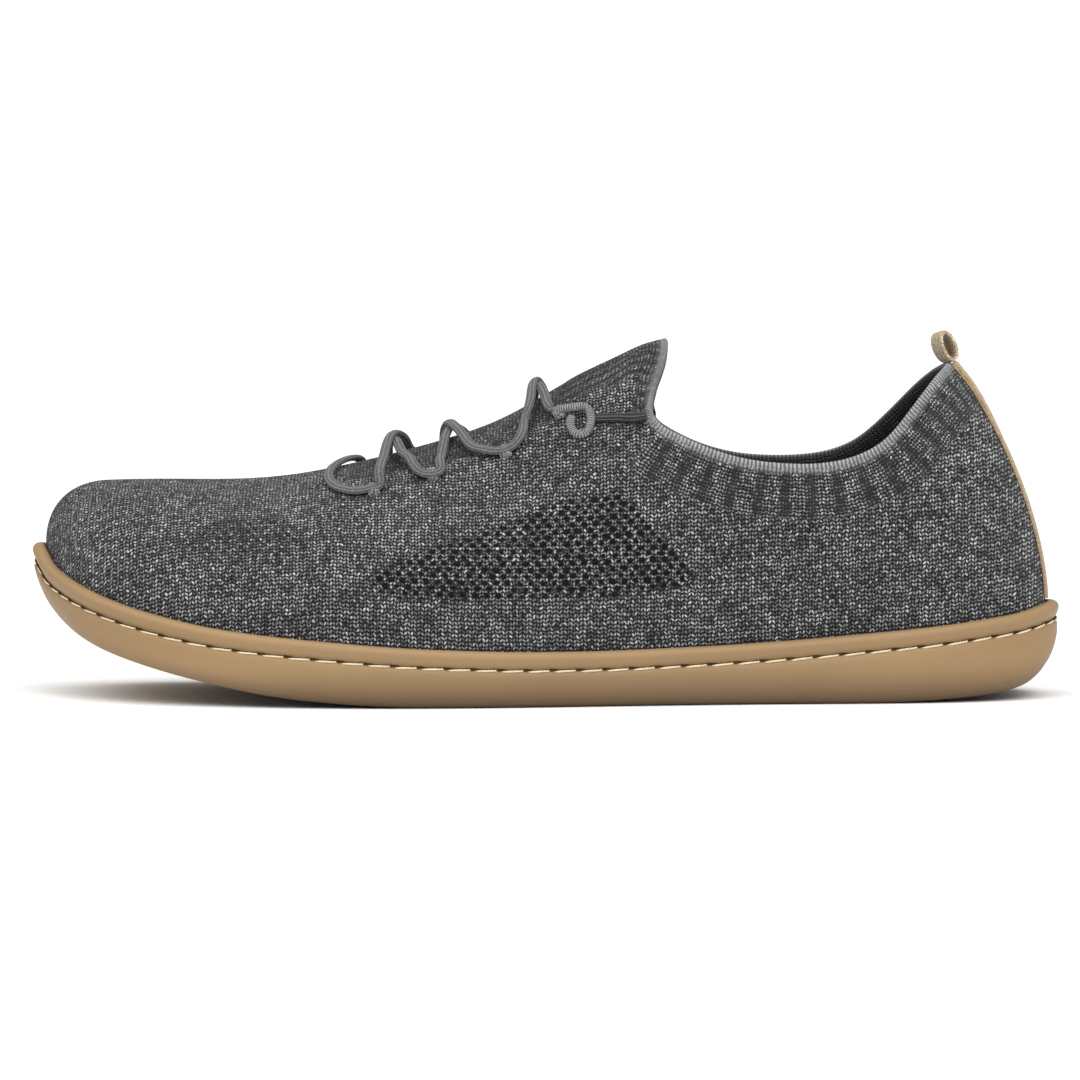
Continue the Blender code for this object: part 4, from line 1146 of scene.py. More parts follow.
def inner_shell(plain, points):
    """The knit's coarser inner face, added to the points: its faces and each point's number."""
    rows = [0, 2, 5, 8, 12, 16, 20, 22, 24]
    rows += list(np.linspace(BAND_STEPS, ROWS - 1, INSIDE_STEPS).astype(int))
    columns = list(range(0, len(COLUMNS), 2))
    number, faces = {}, []

    def inner(s, c, r):
        i = NUMBER[s, c, r]
        if i not in number:
            number[i] = len(points)
            points.append(plain[i])
        return number[i]

    for s in (0, 1):
        for c, d in zip(columns, columns[1:]):
            for r, t in zip(rows, rows[1:]):
                quad = [inner(s, c, r), inner(s, c, t), inner(s, d, t), inner(s, d, r)]
                faces.append(tuple(quad[::-1] if s == 0 else quad))
    return faces, number


def upper_piece():
    """The knit as one closed shell: outer face, rolled edge, inner face and the sewn foot."""
    outer = BASE + BASE_OUT * (EYESTAY_RISE + fold_rise() + rib_rise())[:, None]
    plain = BASE + BASE_OUT * (EYESTAY_RISE - KNIT_WALL)[:, None]
    points = list(outer)
    faces, number = inner_shell(plain, points)
    faces = [tuple(quad) for quad in QUADS.tolist()] + faces
    source = list(number)
    last_column = len(COLUMNS) - 1
    tip_column = TIP_ROW * COLUMNS_PER_ROW
    rims = [(0, c) for c in range(tip_column, last_column + 1)]
    rims += [(1, c) for c in range(last_column - 1, tip_column, -1)]
    feet = [(0, c) for c in range(last_column + 1)]
    feet += [(1, c) for c in range(last_column - 1, 0, -1)]
    tops = [NUMBER[s, c, 0] for s, c in rims]
    soles = [NUMBER[s, c, ROWS - 1] for s, c in feet]
    lift = unit(BASE[tops] - BASE[[NUMBER[s, c, 2] for s, c in rims]])
    rings = [tops]
    for k in range(1, ROLL_STEPS):
        angle = math.pi * k / ROLL_STEPS
        middle, half = (outer[tops] + plain[tops]) / 2, (outer[tops] - plain[tops]) / 2
        rings.append(list(range(len(points), len(points) + len(tops))))
        points += list(middle + half * math.cos(angle) + lift * ROLL_LIFT * math.sin(angle))
        source += tops
    for near, far in zip(rings, rings[1:]):
        for k in range(len(rims)):
            n = (k + 1) % len(rims)
            faces.append((near[k], near[n], far[n], far[k]))
    for ring, inside_of, turned in ((rings[-1], tops, False), (soles, soles, True)):
        for k in range(0, len(ring), 2):
            mid, far = (k + 1) % len(ring), (k + 2) % len(ring)
            face = (ring[k], ring[mid], ring[far], number[inside_of[far]], number[inside_of[k]])
            faces.append(face[::-1] if turned else face)
    copied = np.concatenate([np.arange(len(outer)), np.array(source)])
    cloth = np.stack([ALONG, ACROSS], axis=-1)[OWNER]
    made = shaded("knit_upper", points, faces, uvs=cloth[copied], sharp=70)
    lay_cloth(made.data, "ribs", np.stack([RIB_PLACE, COLLAR_FAR], axis=1)[copied])
    # The inner face, and the rolled edge towards it, get painted shade in the knit's finish.
    inside = np.where(np.arange(len(points)) < len(outer), 0.0, 1.0)
    for k, ring in enumerate(rings[1:], 1):
        inside[ring] = ramp(0.35, 0.95, k / ROLL_STEPS)
    for name, values in (("rib", RIB_STRENGTH[copied]), ("open_mesh", MESH_STRENGTH[copied]),
                         ("throat", THROAT_SHADE[copied]), ("inside", inside),
                         ("hole", LACE_HOLE_SHADE[copied])):
        layer = made.data.attributes.new(name, "FLOAT", "POINT")
        layer.data.foreach_set("value", values.astype(np.float32))
    return made, outer


# The pairs of knitted bridges that carry the lace over the eyestays
BRIDGES = (
    # arrives, leaves, across, turn, arch
    (0.3310, 0.3420, 1.16, 1.5, 0.0022),
    (0.3850, 0.4010, 1.09, 2.3, 0.0009),
    (0.4560, 0.4690, 0.99, 0.6, 0.0016),
    (0.5150, 0.5150, 0.78, 1.0, 0.0000),
)


def hole_places():
    """The places on the eyestay where the lace dives under the knit."""
    finder = BVHTree.FromPolygons([Vector(p) for p in BASE], QUADS.tolist())
    places = []
    for arrives, leaves, across, _, _ in BRIDGES:
        for side in (LATERAL, MEDIAL):
            for share in sorted({arrives, leaves}):
                high = Vector((along_at(share), MIDDLE + side * across * THROAT_HALF, RAY_START))
                places.append(np.array(finder.ray_cast(high, Vector((0, 0, -1)))[0]))
    return places


# Where shade is painted on the eyestay, round the holes where the lace dives under the knit.
LACE_HOLE_SHADE = np.zeros(len(BASE))
for hole in hole_places():
    near_hole = np.exp(-(np.linalg.norm(BASE - hole, axis=1) / HOLE_RADIUS) ** 2)
    LACE_HOLE_SHADE = np.maximum(LACE_HOLE_SHADE, near_hole)


def knit_group():
    """Rows of knitted loops from a cloth place: height and tone of each leg of a loop."""
    tree, wires, (along, across, wale, course, lean), out = shared_group(
        "knitted_loops", ("Along", "Across", "Wale", "Course", "Lean"), ("Height", "Tone"))
    place = wires.combine(along, across)
    warp = (wires.noise(place, 420.0) - 0.5) * 0.9
    warp_side = (wires.noise(place, 330.0) - 0.5) * 0.9
    stitch = along / wale + warp_side
    cell = stitch.whole()
    inner = stitch - cell
    half = abs(inner - 0.5) * 2.0
    leg = wires.math("GREATER_THAN", inner, 0.5)
    rise = across / course + warp - half * lean + wires.random(cell, 3.0) * 0.35
    row = rise.whole()
    up = wires.math("SINE", (rise - row) * math.pi)
    side = wires.math("MAXIMUM", wires.math("SINE", half * math.pi), 0.0) ** 0.8
    wires.feed(out, Height=up ** 1.3 * side, Tone=wires.random(cell * 2.0 + leg, row))
    return tree


def hole_group():
    """Staggered holes of the open mesh from a cloth place: 1 in a hole's middle, 0 between."""
    tree, wires, (along, across, pitch, rows), out = shared_group(
        "mesh_holes", ("Along", "Across", "Pitch", "Rows"), ("Hole",))
    shift = (wires.noise(wires.combine(along, across), 260.0) - 0.5) * 0.9
    row_at = across / rows + shift
    row = row_at.whole()
    odd = wires.math("MODULO", abs(row), 2.0) * 0.5
    hop = along / pitch + odd + wires.random(row, 7.0) * 0.25 + shift * 0.6
    cell = hop.whole()
    x, y = hop - cell - 0.5, row_at - row - 0.5
    size = wires.random(cell, row) * 0.5 + 0.75
    far = wires.math("SQRT", (x * 2.5) ** 2.0 + (y * 1.55) ** 2.0)
    wires.feed(out, Hole=wires.step(far / size, 0.85, 0.50))
    return tree


LOOPS = knit_group()
MESH_HOLES = hole_group()
YARN_GAP_SHADE = (0.008, 0.008, 0.009)
YARN_SHADE = (0.020, 0.021, 0.023)
YARN_MID = (0.255, 0.257, 0.262)
YARN_LIGHT = (0.60, 0.605, 0.615)
EDGE_DARK = (0.110, 0.112, 0.115)
EDGE_LIGHT = (0.400, 0.405, 0.410)
FIBRE_DARK = (0.055, 0.056, 0.060)
CLOUD_DARK = (0.060, 0.061, 0.065)
MESH_HOLE_SHADE = (0.004, 0.004, 0.005)
LACE_HOLE_SHADE_COLOUR = (0.003, 0.003, 0.004)
INSIDE_SHADE = (0.012, 0.012, 0.013)
EDGE_CORD = 0.0011
EDGE_CORD_REACH = (0.0026, 0.0006)
FIELD_WALE, FIELD_COURSE = 0.0018, 0.00110
COLLAR_WALE, COLLAR_COURSE = 0.0016, 0.00095
MESH_PITCHES = (0.0031, 0.00178)
SMALL_HOLE_PITCHES = (0.0022, 0.0015)
KNIT_RELIEF = 0.00042


def knit_finish():
    """Heather knit: loops, ribs, open mesh, pale edge cords, and painted shade in gaps, grooves,
    throat, holes and inside.
    """
    made, wires, shader = finish("grey_knit", 0.9, sheen=0.08, specular=0.06)
    along, across, _ = wires.cloth("cloth")
    rib_across, rib_down, _ = wires.cloth("ribs")
    rib, mesh_zone, inside, throat, hole = (
        wires.attribute(name) for name in ("rib", "open_mesh", "inside", "throat", "hole"))
    field = wires.group(LOOPS, Along=along, Across=across, Wale=FIELD_WALE, Course=FIELD_COURSE,
                        Lean=0.55)
    collar = wires.group(LOOPS, Along=rib_across, Across=rib_down, Wale=COLLAR_WALE,
                         Course=COLLAR_COURSE, Lean=0.45)
    height, tone = (wires.blend(rib, field[name], collar[name]) for name in ("Height", "Tone"))
    place = wires.place()
    streak = wires.noise(place, 1500.0, 3.0, 0.65)
    cloud = wires.noise(place, 55.0, 3.0, 0.6)
    open_hole, small_hole = (
        wires.group(MESH_HOLES, Along=along, Across=across, Pitch=pitch, Rows=rows)["Hole"]
        for pitch, rows in (MESH_PITCHES, SMALL_HOLE_PITCHES))
    loose = wires.step(wires.noise(place, 140.0), 0.42, 0.68)
    pit = wires.math("MAXIMUM", open_hole * wires.step(mesh_zone, 0.15, 0.8),
                     small_hole * loose * (1.0 - rib) * 0.6)
    light = tone * 0.55 + streak * 0.6
    # Painted shade in the grooves between the collar's ribs.
    groove = rib * wires.step(rib_across.wave_top(RIB_PITCH), 0.1, -0.8)
    brow = rib * wires.step(rib_down, *EDGE_CORD_REACH)
    cord = rib_across.wave(EDGE_CORD) + streak * 1.2
    lip = wires.mix(wires.step(cord, -0.5, 1.5), EDGE_DARK, EDGE_LIGHT)
    colour = wires.mix(wires.step(light, 0.25, 0.62), FIBRE_DARK, YARN_MID)
    for share, over in (
        (wires.step(light, 0.62, 0.92), YARN_LIGHT),
        (wires.step(cloud, 0.35, 0.7) * 0.22, CLOUD_DARK),
        # Painted shade in the gaps between the loops' legs, where the loops sink.
        (wires.step(height, 0.80, 0.22) * 0.97, YARN_GAP_SHADE),
        (groove * 0.75, YARN_SHADE),
        (brow * 0.85, lip),
        # Painted shade in the throat, where the tongue lies below the eyestay's edge.
        (throat * 0.45, YARN_SHADE),
        # Near-black in the mesh holes: painted shade of the shoe's inside, seen through them.
        (pit, MESH_HOLE_SHADE),
        # Painted shade round the holes where the lace dives under the bridges.
        (hole * 0.9, LACE_HOLE_SHADE_COLOUR),
        # Painted shade on the knit's inner face, inside the shoe.
        (inside * 0.85, INSIDE_SHADE),
    ):
        colour = wires.mix(share, colour, over)
    wires.feed(shader, Base_Color=colour,
               Normal=wires.bump(height + streak * 0.35 - pit * 1.6, KNIT_RELIEF))
    return made


KNIT, OUTER = upper_piece()
KNIT.data.materials.append(knit_finish())
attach(KNIT, "root")
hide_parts("upper")

# Lace
# One flat oval elastic lace in two zigzags over the tongue, with a bar in front. It runs through
# small knitted bridges on the eyestays. Its last bit forms a small loop on each side, and a flat
# ribbed end that is tacked down beside the collar.
LACE_WIDTH = 0.0028
LACE_THICKNESS = 0.0017
LACE_JOIN = 0.0003
LACE_GAP = 0.00024
LACE_SIDES = 16
LACE_SQUARENESS = 0.9
LACE_RIDGES = 8
LACE_RELIEF = 0.00009
LACE_PITCH = 0.00034
KNOT_PITCH = 0.00060
KNOT_WIDTH = 0.0023
KNOT_THICKNESS = 0.85 * KNOT_WIDTH
END_WIDTH = 0.0027
END_THICKNESS = 0.0011
FRONT_BAR = (
    # along, share of THROAT_HALF across, lift
    (0.3200, -1.18, 0.0000), (0.3030, -1.00, 0.0000), (0.2930, -0.68, 0.0002),
    (0.2960, -0.34, 0.0004), (0.3060, 0.00, 0.0004), (0.3160, 0.36, 0.0003),
    (0.3220, 0.74, 0.0001), (0.3260, 1.06, 0.0000),
)
KNOT = (
    # along, height, lift
    (0.5110, 0.0768, 0.0004), (0.5215, 0.0773, 0.0009), (0.5330, 0.0777, 0.0012),
    (0.5410, 0.0777, 0.0008), (0.5452, 0.0761, 0.0002), (0.5448, 0.0737, 0.0000),
    (0.5405, 0.0717, 0.0000), (0.5340, 0.0712, 0.0000), (0.5282, 0.0722, 0.0000),
    (0.5258, 0.0742, 0.0000), (0.5268, 0.0758, 0.0000),
)
LACE_END = (
    # along, height, lift
    (0.5480, 0.0758, 0.0000), (0.5600, 0.0758, 0.0001), (0.5740, 0.0760, 0.0001),
    (0.5870, 0.0763, 0.0001), (0.5990, 0.0766, 0.0000),
)
OVER_KNIT = BVHTree.FromPolygons([Vector(p) for p in OUTER], QUADS.tolist())


def on_upper(along, across, lift):
    """A place over the knit's outside, at a height above it, and the knit's direction there."""
    high = Vector((along_at(along), MIDDLE + across, RAY_START))
    place, normal, _, _ = OVER_KNIT.ray_cast(high, Vector((0, 0, -1)))
    return np.array(place + normal * lift), np.array(normal)


def beside_upper(side, along, height, lift):
    """A place beside the knit on one side, and the knit's direction there."""
    far = Vector((along_at(along), MIDDLE + side * RAY_START, height))
    place, normal, _, _ = OVER_KNIT.ray_cast(far, Vector((0, -side, 0)))
    if normal.y * side < 0:
        normal = -normal
    return np.array(place + normal * lift), np.array(normal)


def strand(start, end, side, above):
    """The route of one crossing from a bridge on one side to the next one on the other side."""
    over = LACE_THICKNESS - LACE_JOIN if above else 0.0
    leaves, across, turn, arch = start[1:]
    arrives, next_across = end[0], end[2]
    low = LACE_GAP + LACE_THICKNESS / 2
    route = []
    for u in np.linspace(0, 1, 11):
        half = (across + (next_across - across) * u) * THROAT_HALF
        middle = math.sin(math.pi * u)
        lift = low + over * middle + (arch + EYESTAY_STEP / 2) * middle ** 0.7
        place = leaves + (arrives - leaves) * u ** turn
        route.append(on_upper(place, side * half * math.cos(math.pi * u), lift))
    return route


def even_route(route, count):
    """Evenly spaced places and upward directions on a smooth curve through a route."""
    points = np.array([np.concatenate(pair) for pair in route])
    run = spaced(points[:, :3])
    return np.split(smooth(run, points)(np.linspace(0, run[-1], count)), 2, axis=1)


def raised_clear(places, ups, wide, thick):
    """Raises a route where its rings would come too near the knit."""
    for _ in range(3):
        rings, risen = rings_along(places, ups, wide, thick, 8, LACE_SQUARENESS)
        lack = np.zeros(len(places))
        for k, ring in enumerate(rings):
            for corner in ring:
                near, normal, _, _ = OVER_KNIT.find_nearest(Vector(corner))
                if np.dot(normal, risen[k]) >= 0.2:
                    gap = float(np.dot(corner - np.array(near), normal))
                    lack[k] = max(lack[k], LACE_GAP - gap)
        for _ in range(6):
            beside = (np.append(lack[1:], 0) + np.append(0, lack[:-1])) / 2
            lack = np.maximum(lack, beside)
        places = places + risen * lack[:, None]
    return places


def braid(name, route, count, wide, thick, look):
    """A flat oval lace on a route, clear of the knit and closed at both ends."""
    places, ups = even_route(route, count)
    places = raised_clear(places, ups, wide, thick)
    rings, _ = rings_along(places, ups, wide, thick, LACE_SIDES, LACE_SQUARENESS)
    uvs = [(run, n / LACE_SIDES) for run in spaced(places) for n in range(LACE_SIDES)]
    made = shaded(name, *tube(rings), uvs=uvs, sharp=80)
    made.data.materials.append(look)
    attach(made, "root")
    return made


def lace_finish(name, dark, light, ridges, cross, pitch=LACE_PITCH):
    """Grey elastic: lengthwise ridges round the lace and fine ribs across it, with painted light
    and shade on them.
    """
    made, wires, shader = finish(name, 0.62, sheen=0.1, specular=0.2)
    run, turn, _ = wires.cloth("cloth")
    height = turn.wave_top(1 / LACE_RIDGES) * ridges + run.wave_top(pitch) * cross
    noise = wires.noise(wires.place(), 1800.0)
    # The relief lightens the ridges and darkens the hollows, painted light and shade, over a random
    # tone.
    tone = wires.step(height * 0.28 + noise, 0.25, 0.85)
    wires.feed(shader, Base_Color=wires.mix(tone, dark, light),
               Normal=wires.bump(height + noise * 0.5, LACE_RELIEF))
    return made


LACE_FINISH = lace_finish("grey_elastic", (0.060, 0.061, 0.065), (0.175, 0.18, 0.188), 0.9, 0.5)
# The same elastic in painted light, for the knot's loops that stand up into the light.
KNOT_LIT_FINISH = lace_finish("elastic_painted_light", (0.070, 0.072, 0.076), (0.30, 0.305, 0.315), 0.1, 1.1,
                          KNOT_PITCH)
# The same elastic in painted shade, for the flat end beside the collar.
END_SHADED_FINISH = lace_finish("elastic_painted_shade", (0.008, 0.008, 0.010), (0.060, 0.062, 0.066), 1.6, 0.15)


def lace_pieces():
    """The two zigzags, the lower one with the bar, and a knot and an end on each side."""
    flat = LACE_GAP + LACE_THICKNESS / 2
    bar = [on_upper(along, share * THROAT_HALF, flat + lift) for along, share, lift in FRONT_BAR]
    first = BRIDGES[0]
    zigzags = {}
    for begin in (LATERAL, MEDIAL):
        route = [on_upper((first[0] + first[1]) / 2, begin * first[2] * THROAT_HALF, flat)]
        side = begin
        for start, end in zip(BRIDGES, BRIDGES[1:]):
            route += strand(start, end, side, begin == LATERAL)
            side = -side
        zigzags[begin] = route
    whole = zigzags[MEDIAL][::-1] + bar[::-1] + zigzags[LATERAL][:1]
    under = braid("lace_with_bar", whole, 340, LACE_WIDTH, LACE_THICKNESS, LACE_FINISH)
    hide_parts("lace_crossings")
    braid("lace_over", zigzags[LATERAL], 240, LACE_WIDTH, LACE_THICKNESS, LACE_FINISH)
    for side, word in ((LATERAL, "lateral"), (MEDIAL, "medial")):
        for kind, table, count, wide, thick, look in (
            ("lace_knot", KNOT, 90, KNOT_WIDTH, KNOT_THICKNESS, KNOT_LIT_FINISH),
            ("lace_end", LACE_END, 50, END_WIDTH, END_THICKNESS, END_SHADED_FINISH),
        ):
            route = [beside_upper(side, along, height, LACE_GAP + thick / 2 + lift)
                     for along, height, lift in table]
            made = braid(f"{kind}_{word}_band", route, count, wide, thick, look)
            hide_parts(f"{kind}_{word}")


lace_pieces()

# Lace bridges
# Four pairs of small knitted arches that the lace runs under. They are worked in one with the
# eyestays, from the same grey yarn.
BRIDGE_HALF = 0.0016
BRIDGE_WIDE = 0.0023
BRIDGE_HIGH = 0.0019
BRIDGE_THICK = 0.00055
BRIDGE_STEPS = 7
BRIDGE_TURNS = np.radians(np.linspace(-112, 112, 15))
BRIDGE_WALE = 0.0009
BRIDGE_COURSE = 0.0008
BRIDGE_RELIEF = 0.0003
BRIDGE_DARK = (0.10, 0.102, 0.107)
BRIDGE_LIGHT = (0.45, 0.455, 0.465)


def knitted_arch(middle, along, out):
    """One knitted arch, thick in the middle and thin at its two mouths: points and faces."""
    aside = np.cross(out, along)
    points, faces = [], []
    for u in np.linspace(-1, 1, BRIDGE_STEPS):
        swell = 1 - 0.16 * u * u
        thin = BRIDGE_THICK / BRIDGE_HIGH * (0.25 + 0.75 * math.sqrt(1 - 0.94 * u * u))
        for turn in BRIDGE_TURNS:
            for far in (swell, swell * (1 - thin)):
                points.append(middle + along * (u * BRIDGE_HALF)
                              + aside * (math.sin(turn) * BRIDGE_WIDE * far)
                              + out * (math.cos(turn) * BRIDGE_HIGH * far))
    wide = 2 * len(BRIDGE_TURNS)
    for start in range(0, (BRIDGE_STEPS - 1) * wide, wide):
        for a in range(start, start + wide - 2, 2):
            faces.append((a, a + wide, a + wide + 2, a + 2))
            faces.append((a + 1, a + 3, a + wide + 3, a + wide + 1))
        for a, step in ((start, 1), (start + wide - 2, -1)):
            faces.append((a, a + 1, a + wide + 1, a + wide)[::step])
    for start, step in ((0, 1), ((BRIDGE_STEPS - 1) * wide, -1)):
        for a in range(start, start + wide - 2, 2):
            faces.append((a, a + 2, a + 3, a + 1)[::step])
    return points, faces


def bridge_piece():
    """All the arches, each on its place on the eyestay."""
    parts = []
    for arrives, leaves, across, _, _ in BRIDGES:
        for side in (LATERAL, MEDIAL):
            share, aside = (arrives + leaves) / 2, side * across * THROAT_HALF
            middle, out = on_upper(share, aside, 0.0)
            along = on_upper(share + 0.01, aside, 0.0)[0] - middle
            parts.append(knitted_arch(middle, unit(along - out * along.dot(out)), out))
    made = shaded("lace_bridges", *gather(parts), sharp=60)
    made.data.materials.append(bridge_finish())
    return made


def bridge_finish():
    """Small loops of grey yarn, with painted shade in the gaps between them."""
    made, wires, shader = finish("bridge_knit", 0.85, sheen=0.3, specular=0.2)
    place = wires.place()
    along, across, up = wires.separate(place)
    loops = wires.group(LOOPS, Along=along, Across=up - across, Wale=BRIDGE_WALE,
                        Course=BRIDGE_COURSE, Lean=0.6)
    light = loops["Tone"] * 0.6 + wires.noise(place, 1500.0) * 0.5
    colour = wires.mix(wires.step(light, 0.3, 0.8), BRIDGE_DARK, BRIDGE_LIGHT)
    # Painted shade in the gaps between the loops.
    colour = wires.mix(wires.step(loops["Height"], 0.6, 0.1) * 0.75, colour, YARN_SHADE)
    wires.feed(shader, Base_Color=colour, Normal=wires.bump(loops["Height"], BRIDGE_RELIEF))
    return made


LACE_BRIDGES = bridge_piece()
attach(LACE_BRIDGES, "root")

# Heel tape
# Tan woven webbing laid over the middle of the heel. It is sewn down from the collar to the sole,
# and is thickest at the top, under the pull loop.
TAPE_WIDTH = 0.0100
TAPE_THICKNESS = 0.0011
TAPE_THIN = 0.55
TAPE_SWELL = 0.75
TAPE_SWELL_FROM = 0.65
WEBBING_ROUND = 0.35
TAPE_ROWS = 60
TAPE_COLUMNS = 13
WEBBING_COLOUR = (0.36, 0.24, 0.11)
WEBBING_LIGHT = (0.56, 0.42, 0.23)
WEBBING_GAP_SHADE = (0.16, 0.10, 0.045)
WEBBING_FLECK = (0.86, 0.80, 0.66)
WEBBING_WARP = 0.0007
WEBBING_PICK = 0.00055
WEBBING_RELIEF = 0.00012


def webbing_finish(name, fleck):
    """Tan webbing: a fine herringbone of yarns, with pale flecks where they show and painted shade
    between them.
    """
    made, wires, shader = finish(name, 0.72, sheen=0.2, specular=0.3)
    run, across, _ = wires.cloth("cloth")
    slant = run + wires.math("PINGPONG", across, WEBBING_WARP) * 0.8
    height = slant.wave(WEBBING_PICK) * 0.6 + across.wave(WEBBING_WARP) * 0.4
    noise = wires.noise(wires.place(), 1600.0)
    pale = wires.step(wires.noise(wires.place(), 2600.0, 1.0), 0.5, 0.62) * fleck
    colour = wires.mix(wires.step(noise, 0.35, 0.75), WEBBING_COLOUR, WEBBING_LIGHT)
    # Painted shade in the hollows between the yarns.
    colour = wires.mix(wires.step(height, 0.1, -0.8) * 0.5, colour, WEBBING_GAP_SHADE)
    wires.feed(shader, Base_Color=wires.mix(pale, colour, WEBBING_FLECK),
               Normal=wires.bump(height, WEBBING_RELIEF))
    return made


def tape_piece():
    """Two faces of webbing over the heel's middle, joined round their border."""
    low, high = rim(LENGTH / 2) + 2 * CLEARANCE, HEEL_HEIGHT - 0.5 * TAPE_THICKNESS
    inner, outer, uvs = [], [], []
    for z in np.linspace(low, high, TAPE_ROWS):
        swell = ramp(low + TAPE_SWELL_FROM * (high - low), high - 0.003, z)
        thick = TAPE_THICKNESS * (TAPE_THIN + TAPE_SWELL * swell)
        for share in np.linspace(-1, 1, TAPE_COLUMNS):
            y = MIDDLE + share * TAPE_WIDTH / 2
            behind = Vector((LENGTH, y, z))
            place, normal, _, _ = OVER_KNIT.ray_cast(behind, Vector((-1, 0, 0)))
            round_off = WEBBING_ROUND * thick * abs(share) ** 8
            inner.append(np.array(place + normal * 0.6 * CLEARANCE))
            outer.append(np.array(place + normal * (CLEARANCE + thick - round_off)))
            uvs.append((z, y))
    number = np.arange(len(inner)).reshape(TAPE_ROWS, TAPE_COLUMNS)
    faces = []
    for below, above in zip(number.tolist(), number[1:].tolist()):
        for quad in zip(below, below[1:], above[1:], above):
            faces += [quad[::-1], tuple(i + len(inner) for i in quad)]
    border = np.concatenate([number[0, :-1], number[:-1, -1], number[-1, :0:-1], number[:0:-1, 0]])
    for a, b in zip(border.tolist(), np.roll(border, -1).tolist()):
        faces.append((a, b, b + len(inner), a + len(inner)))
    made = shaded("sewn_heel_tape", inner + outer, faces, uvs=uvs + uvs)
    made.data.materials.append(webbing_finish("tape_webbing", 0.15))
    return made


TAPE = tape_piece()
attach(TAPE, "root")
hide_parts("heel_tape")

# Pull loop
# The same webbing folded into a small standing loop over the heel, to pull the shoe on by. Its
# ends are sewn to the collar's edge.
LOOP_HEIGHT = 0.0090
LOOP_DEPTH = 0.0046
LOOP_LEAN = 22.0
LOOP_YAW = 14.0
LOOP_STEPS = 72
LOOP_ACROSS = 13


def loop_piece():
    """An oval band of webbing, leaning forwards and turned a little towards the front."""
    lean, yaw = math.radians(LOOP_LEAN), math.radians(LOOP_YAW)
    along = np.array([-math.sin(lean), 0.0, math.cos(lean)])
    aside = np.array([math.cos(lean) * math.cos(yaw), math.cos(lean) * math.sin(yaw),
                      math.sin(lean)])
    broad = unit(np.cross(along, aside))
    tall, deep = (LOOP_HEIGHT - TAPE_THICKNESS) / 2, (LOOP_DEPTH - TAPE_THICKNESS) / 2
    foot = COLLAR_AT(1.0)[0] + np.array([0.0, 0.0, CLEARANCE + TAPE_THICKNESS / 2])
    turns = 2 * math.pi * np.arange(LOOP_STEPS) / LOOP_STEPS
    cosines, sines = np.cos(turns)[:, None], np.sin(turns)[:, None]
    middles = foot + along * tall + along * tall * cosines + aside * deep * sines
    normals = unit(along * cosines / tall + aside * sines / deep)
    shares = np.linspace(-1, 1, LOOP_ACROSS)
    points, uvs, faces = [], [], []
    for middle, normal, run in zip(middles, normals, spaced(middles)):
        for shift, row in ((0.5, shares), (-0.5, shares[::-1])):
            for share in row:
                thick = shift * TAPE_THICKNESS * (1 - WEBBING_ROUND * abs(share) ** 8)
                points.append(middle + normal * thick + broad * (share * TAPE_WIDTH / 2))
                uvs.append((run, share * TAPE_WIDTH / 2))
    ring = 2 * LOOP_ACROSS
    for k in range(LOOP_STEPS):
        faces += ring_faces(k * ring, (k + 1) % LOOP_STEPS * ring, ring)
    made = shaded("standing_loop", points, faces, uvs=uvs)
    made.data.materials.append(webbing_finish("loop_webbing", 0.75))
    return made


PULL_LOOP = loop_piece()
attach(PULL_LOOP, "root")
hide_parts("pull_loop")

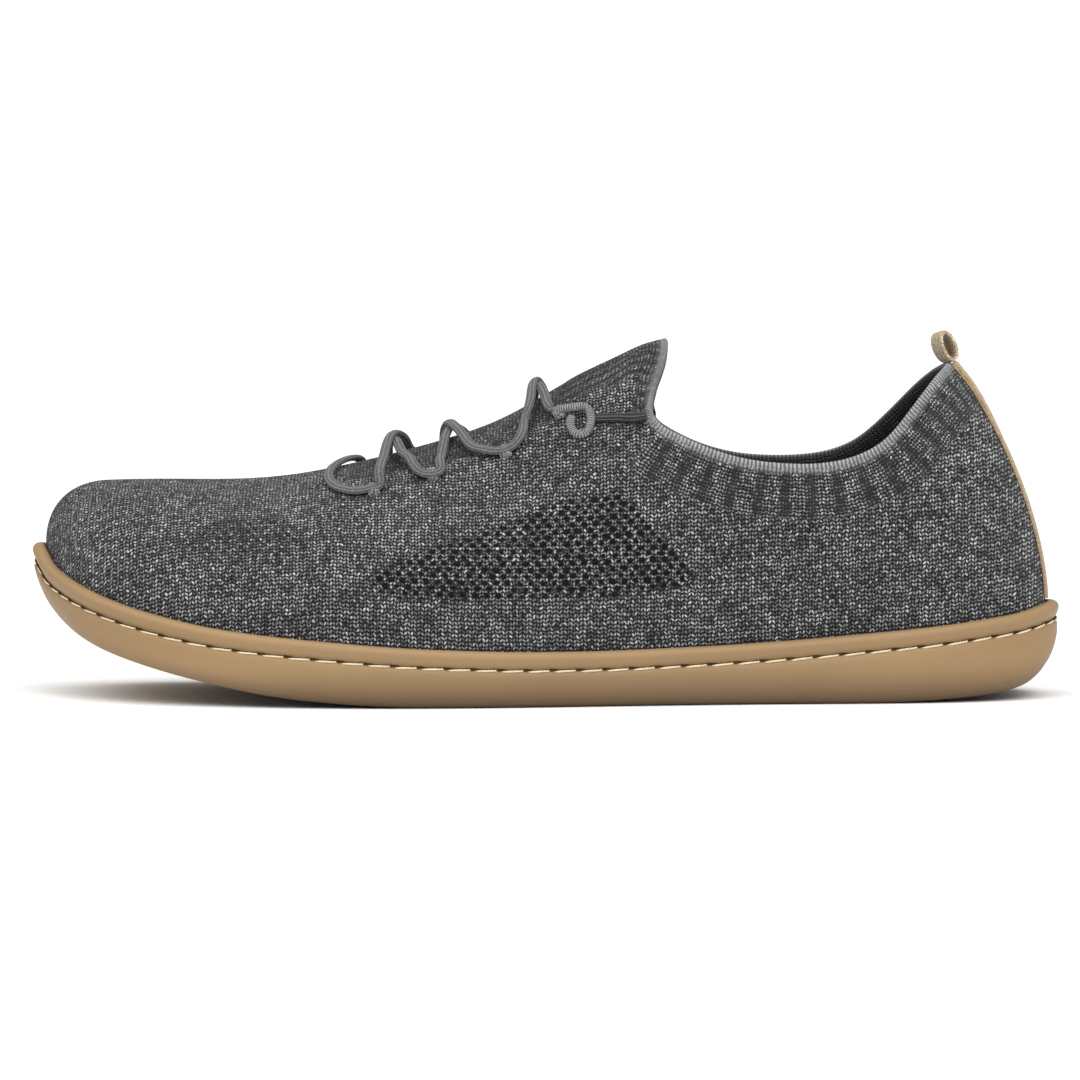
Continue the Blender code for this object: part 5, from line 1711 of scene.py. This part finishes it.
# Studio
# A pale even floor in a bright room, with a soft main lamp above and a weak fill, as in a
# catalogue picture.
FLOOR_HALF = 6.0
FLOOR_COLOUR = (0.90, 0.90, 0.90, 1)
LAMP_PLACE = (0.7, -1.8, 1.2)
LAMP_TARGET = (0.0, 0.0, 0.04)
LAMP_SIZE = 1.0
LAMP_WATTS = 14.0
SKY_STRENGTH = 2.75
SKY_SPREAD = 80.0
SKY_TILT = (22.0, -8.0, 0.0)
ROOM_LIGHT = 0.55
ROOM_SEEN = 1.1
CAMERA_FAR = 1.75
CAMERA_RISE = 3.0
CAMERA_LENS = 214.0
LOOK_AT = (-0.0011, 0.0, 0.0423)


def floor_piece():
    """A wide pale floor under the shoe."""
    corners = [(x * FLOOR_HALF, y * FLOOR_HALF, 0) for x, y in ((-1, -1), (1, -1), (1, 1), (-1, 1))]
    made = shaded("floor", corners, [(0, 1, 2, 3)])
    paint, wires, shader = finish("floor_paint", 0.9, specular=0.05)
    wires.feed(shader, Base_Color=FLOOR_COLOUR)
    made.data.materials.append(paint)
    return made


FLOOR = floor_piece()


def placed(name, data, place, target=None, tilt=(0.0, 0.0, 0.0)):
    """A lamp or a camera at a place, turned to a target or by angles in degrees."""
    made = bpy.data.objects.new(name, data)
    made.location = place
    made.rotation_euler = [math.radians(angle) for angle in tilt]
    if target is not None:
        made.rotation_euler = (Vector(target) - Vector(place)).to_track_quat("-Z", "Y").to_euler()
    bpy.context.scene.collection.objects.link(made)
    return made


front = bpy.data.lights.new("front_lamp", "AREA")
front.shape, front.size, front.energy = "DISK", LAMP_SIZE, LAMP_WATTS
placed("front_lamp", front, LAMP_PLACE, LAMP_TARGET)
sky = bpy.data.lights.new("sky_lamp", "SUN")
sky.energy, sky.angle = SKY_STRENGTH, math.radians(SKY_SPREAD)
placed("sky_lamp", sky, (0.0, 0.0, 0.0), tilt=SKY_TILT)

world = bpy.data.worlds.new("bright_room")
bpy.context.scene.world = world
world.use_nodes = True
room = Wires(world.node_tree)
seen = Field(room, room.node("ShaderNodeLightPath").outputs["Is Camera Ray"])
room.feed(world.node_tree.nodes["Background"], Color=(1.0, 1.0, 1.0, 1),
          Strength=room.blend(seen, ROOM_LIGHT, ROOM_SEEN))
bpy.context.scene.view_settings.view_transform = "Standard"

camera = bpy.data.cameras.new("camera")
camera.lens = CAMERA_LENS
camera.clip_start, camera.clip_end = 0.05, 40.0
rise = math.radians(CAMERA_RISE)
eye = Vector(LOOK_AT) + CAMERA_FAR * Vector((0.0, -math.cos(rise), math.sin(rise)))
bpy.context.scene.camera = placed("camera", camera, eye, LOOK_AT)
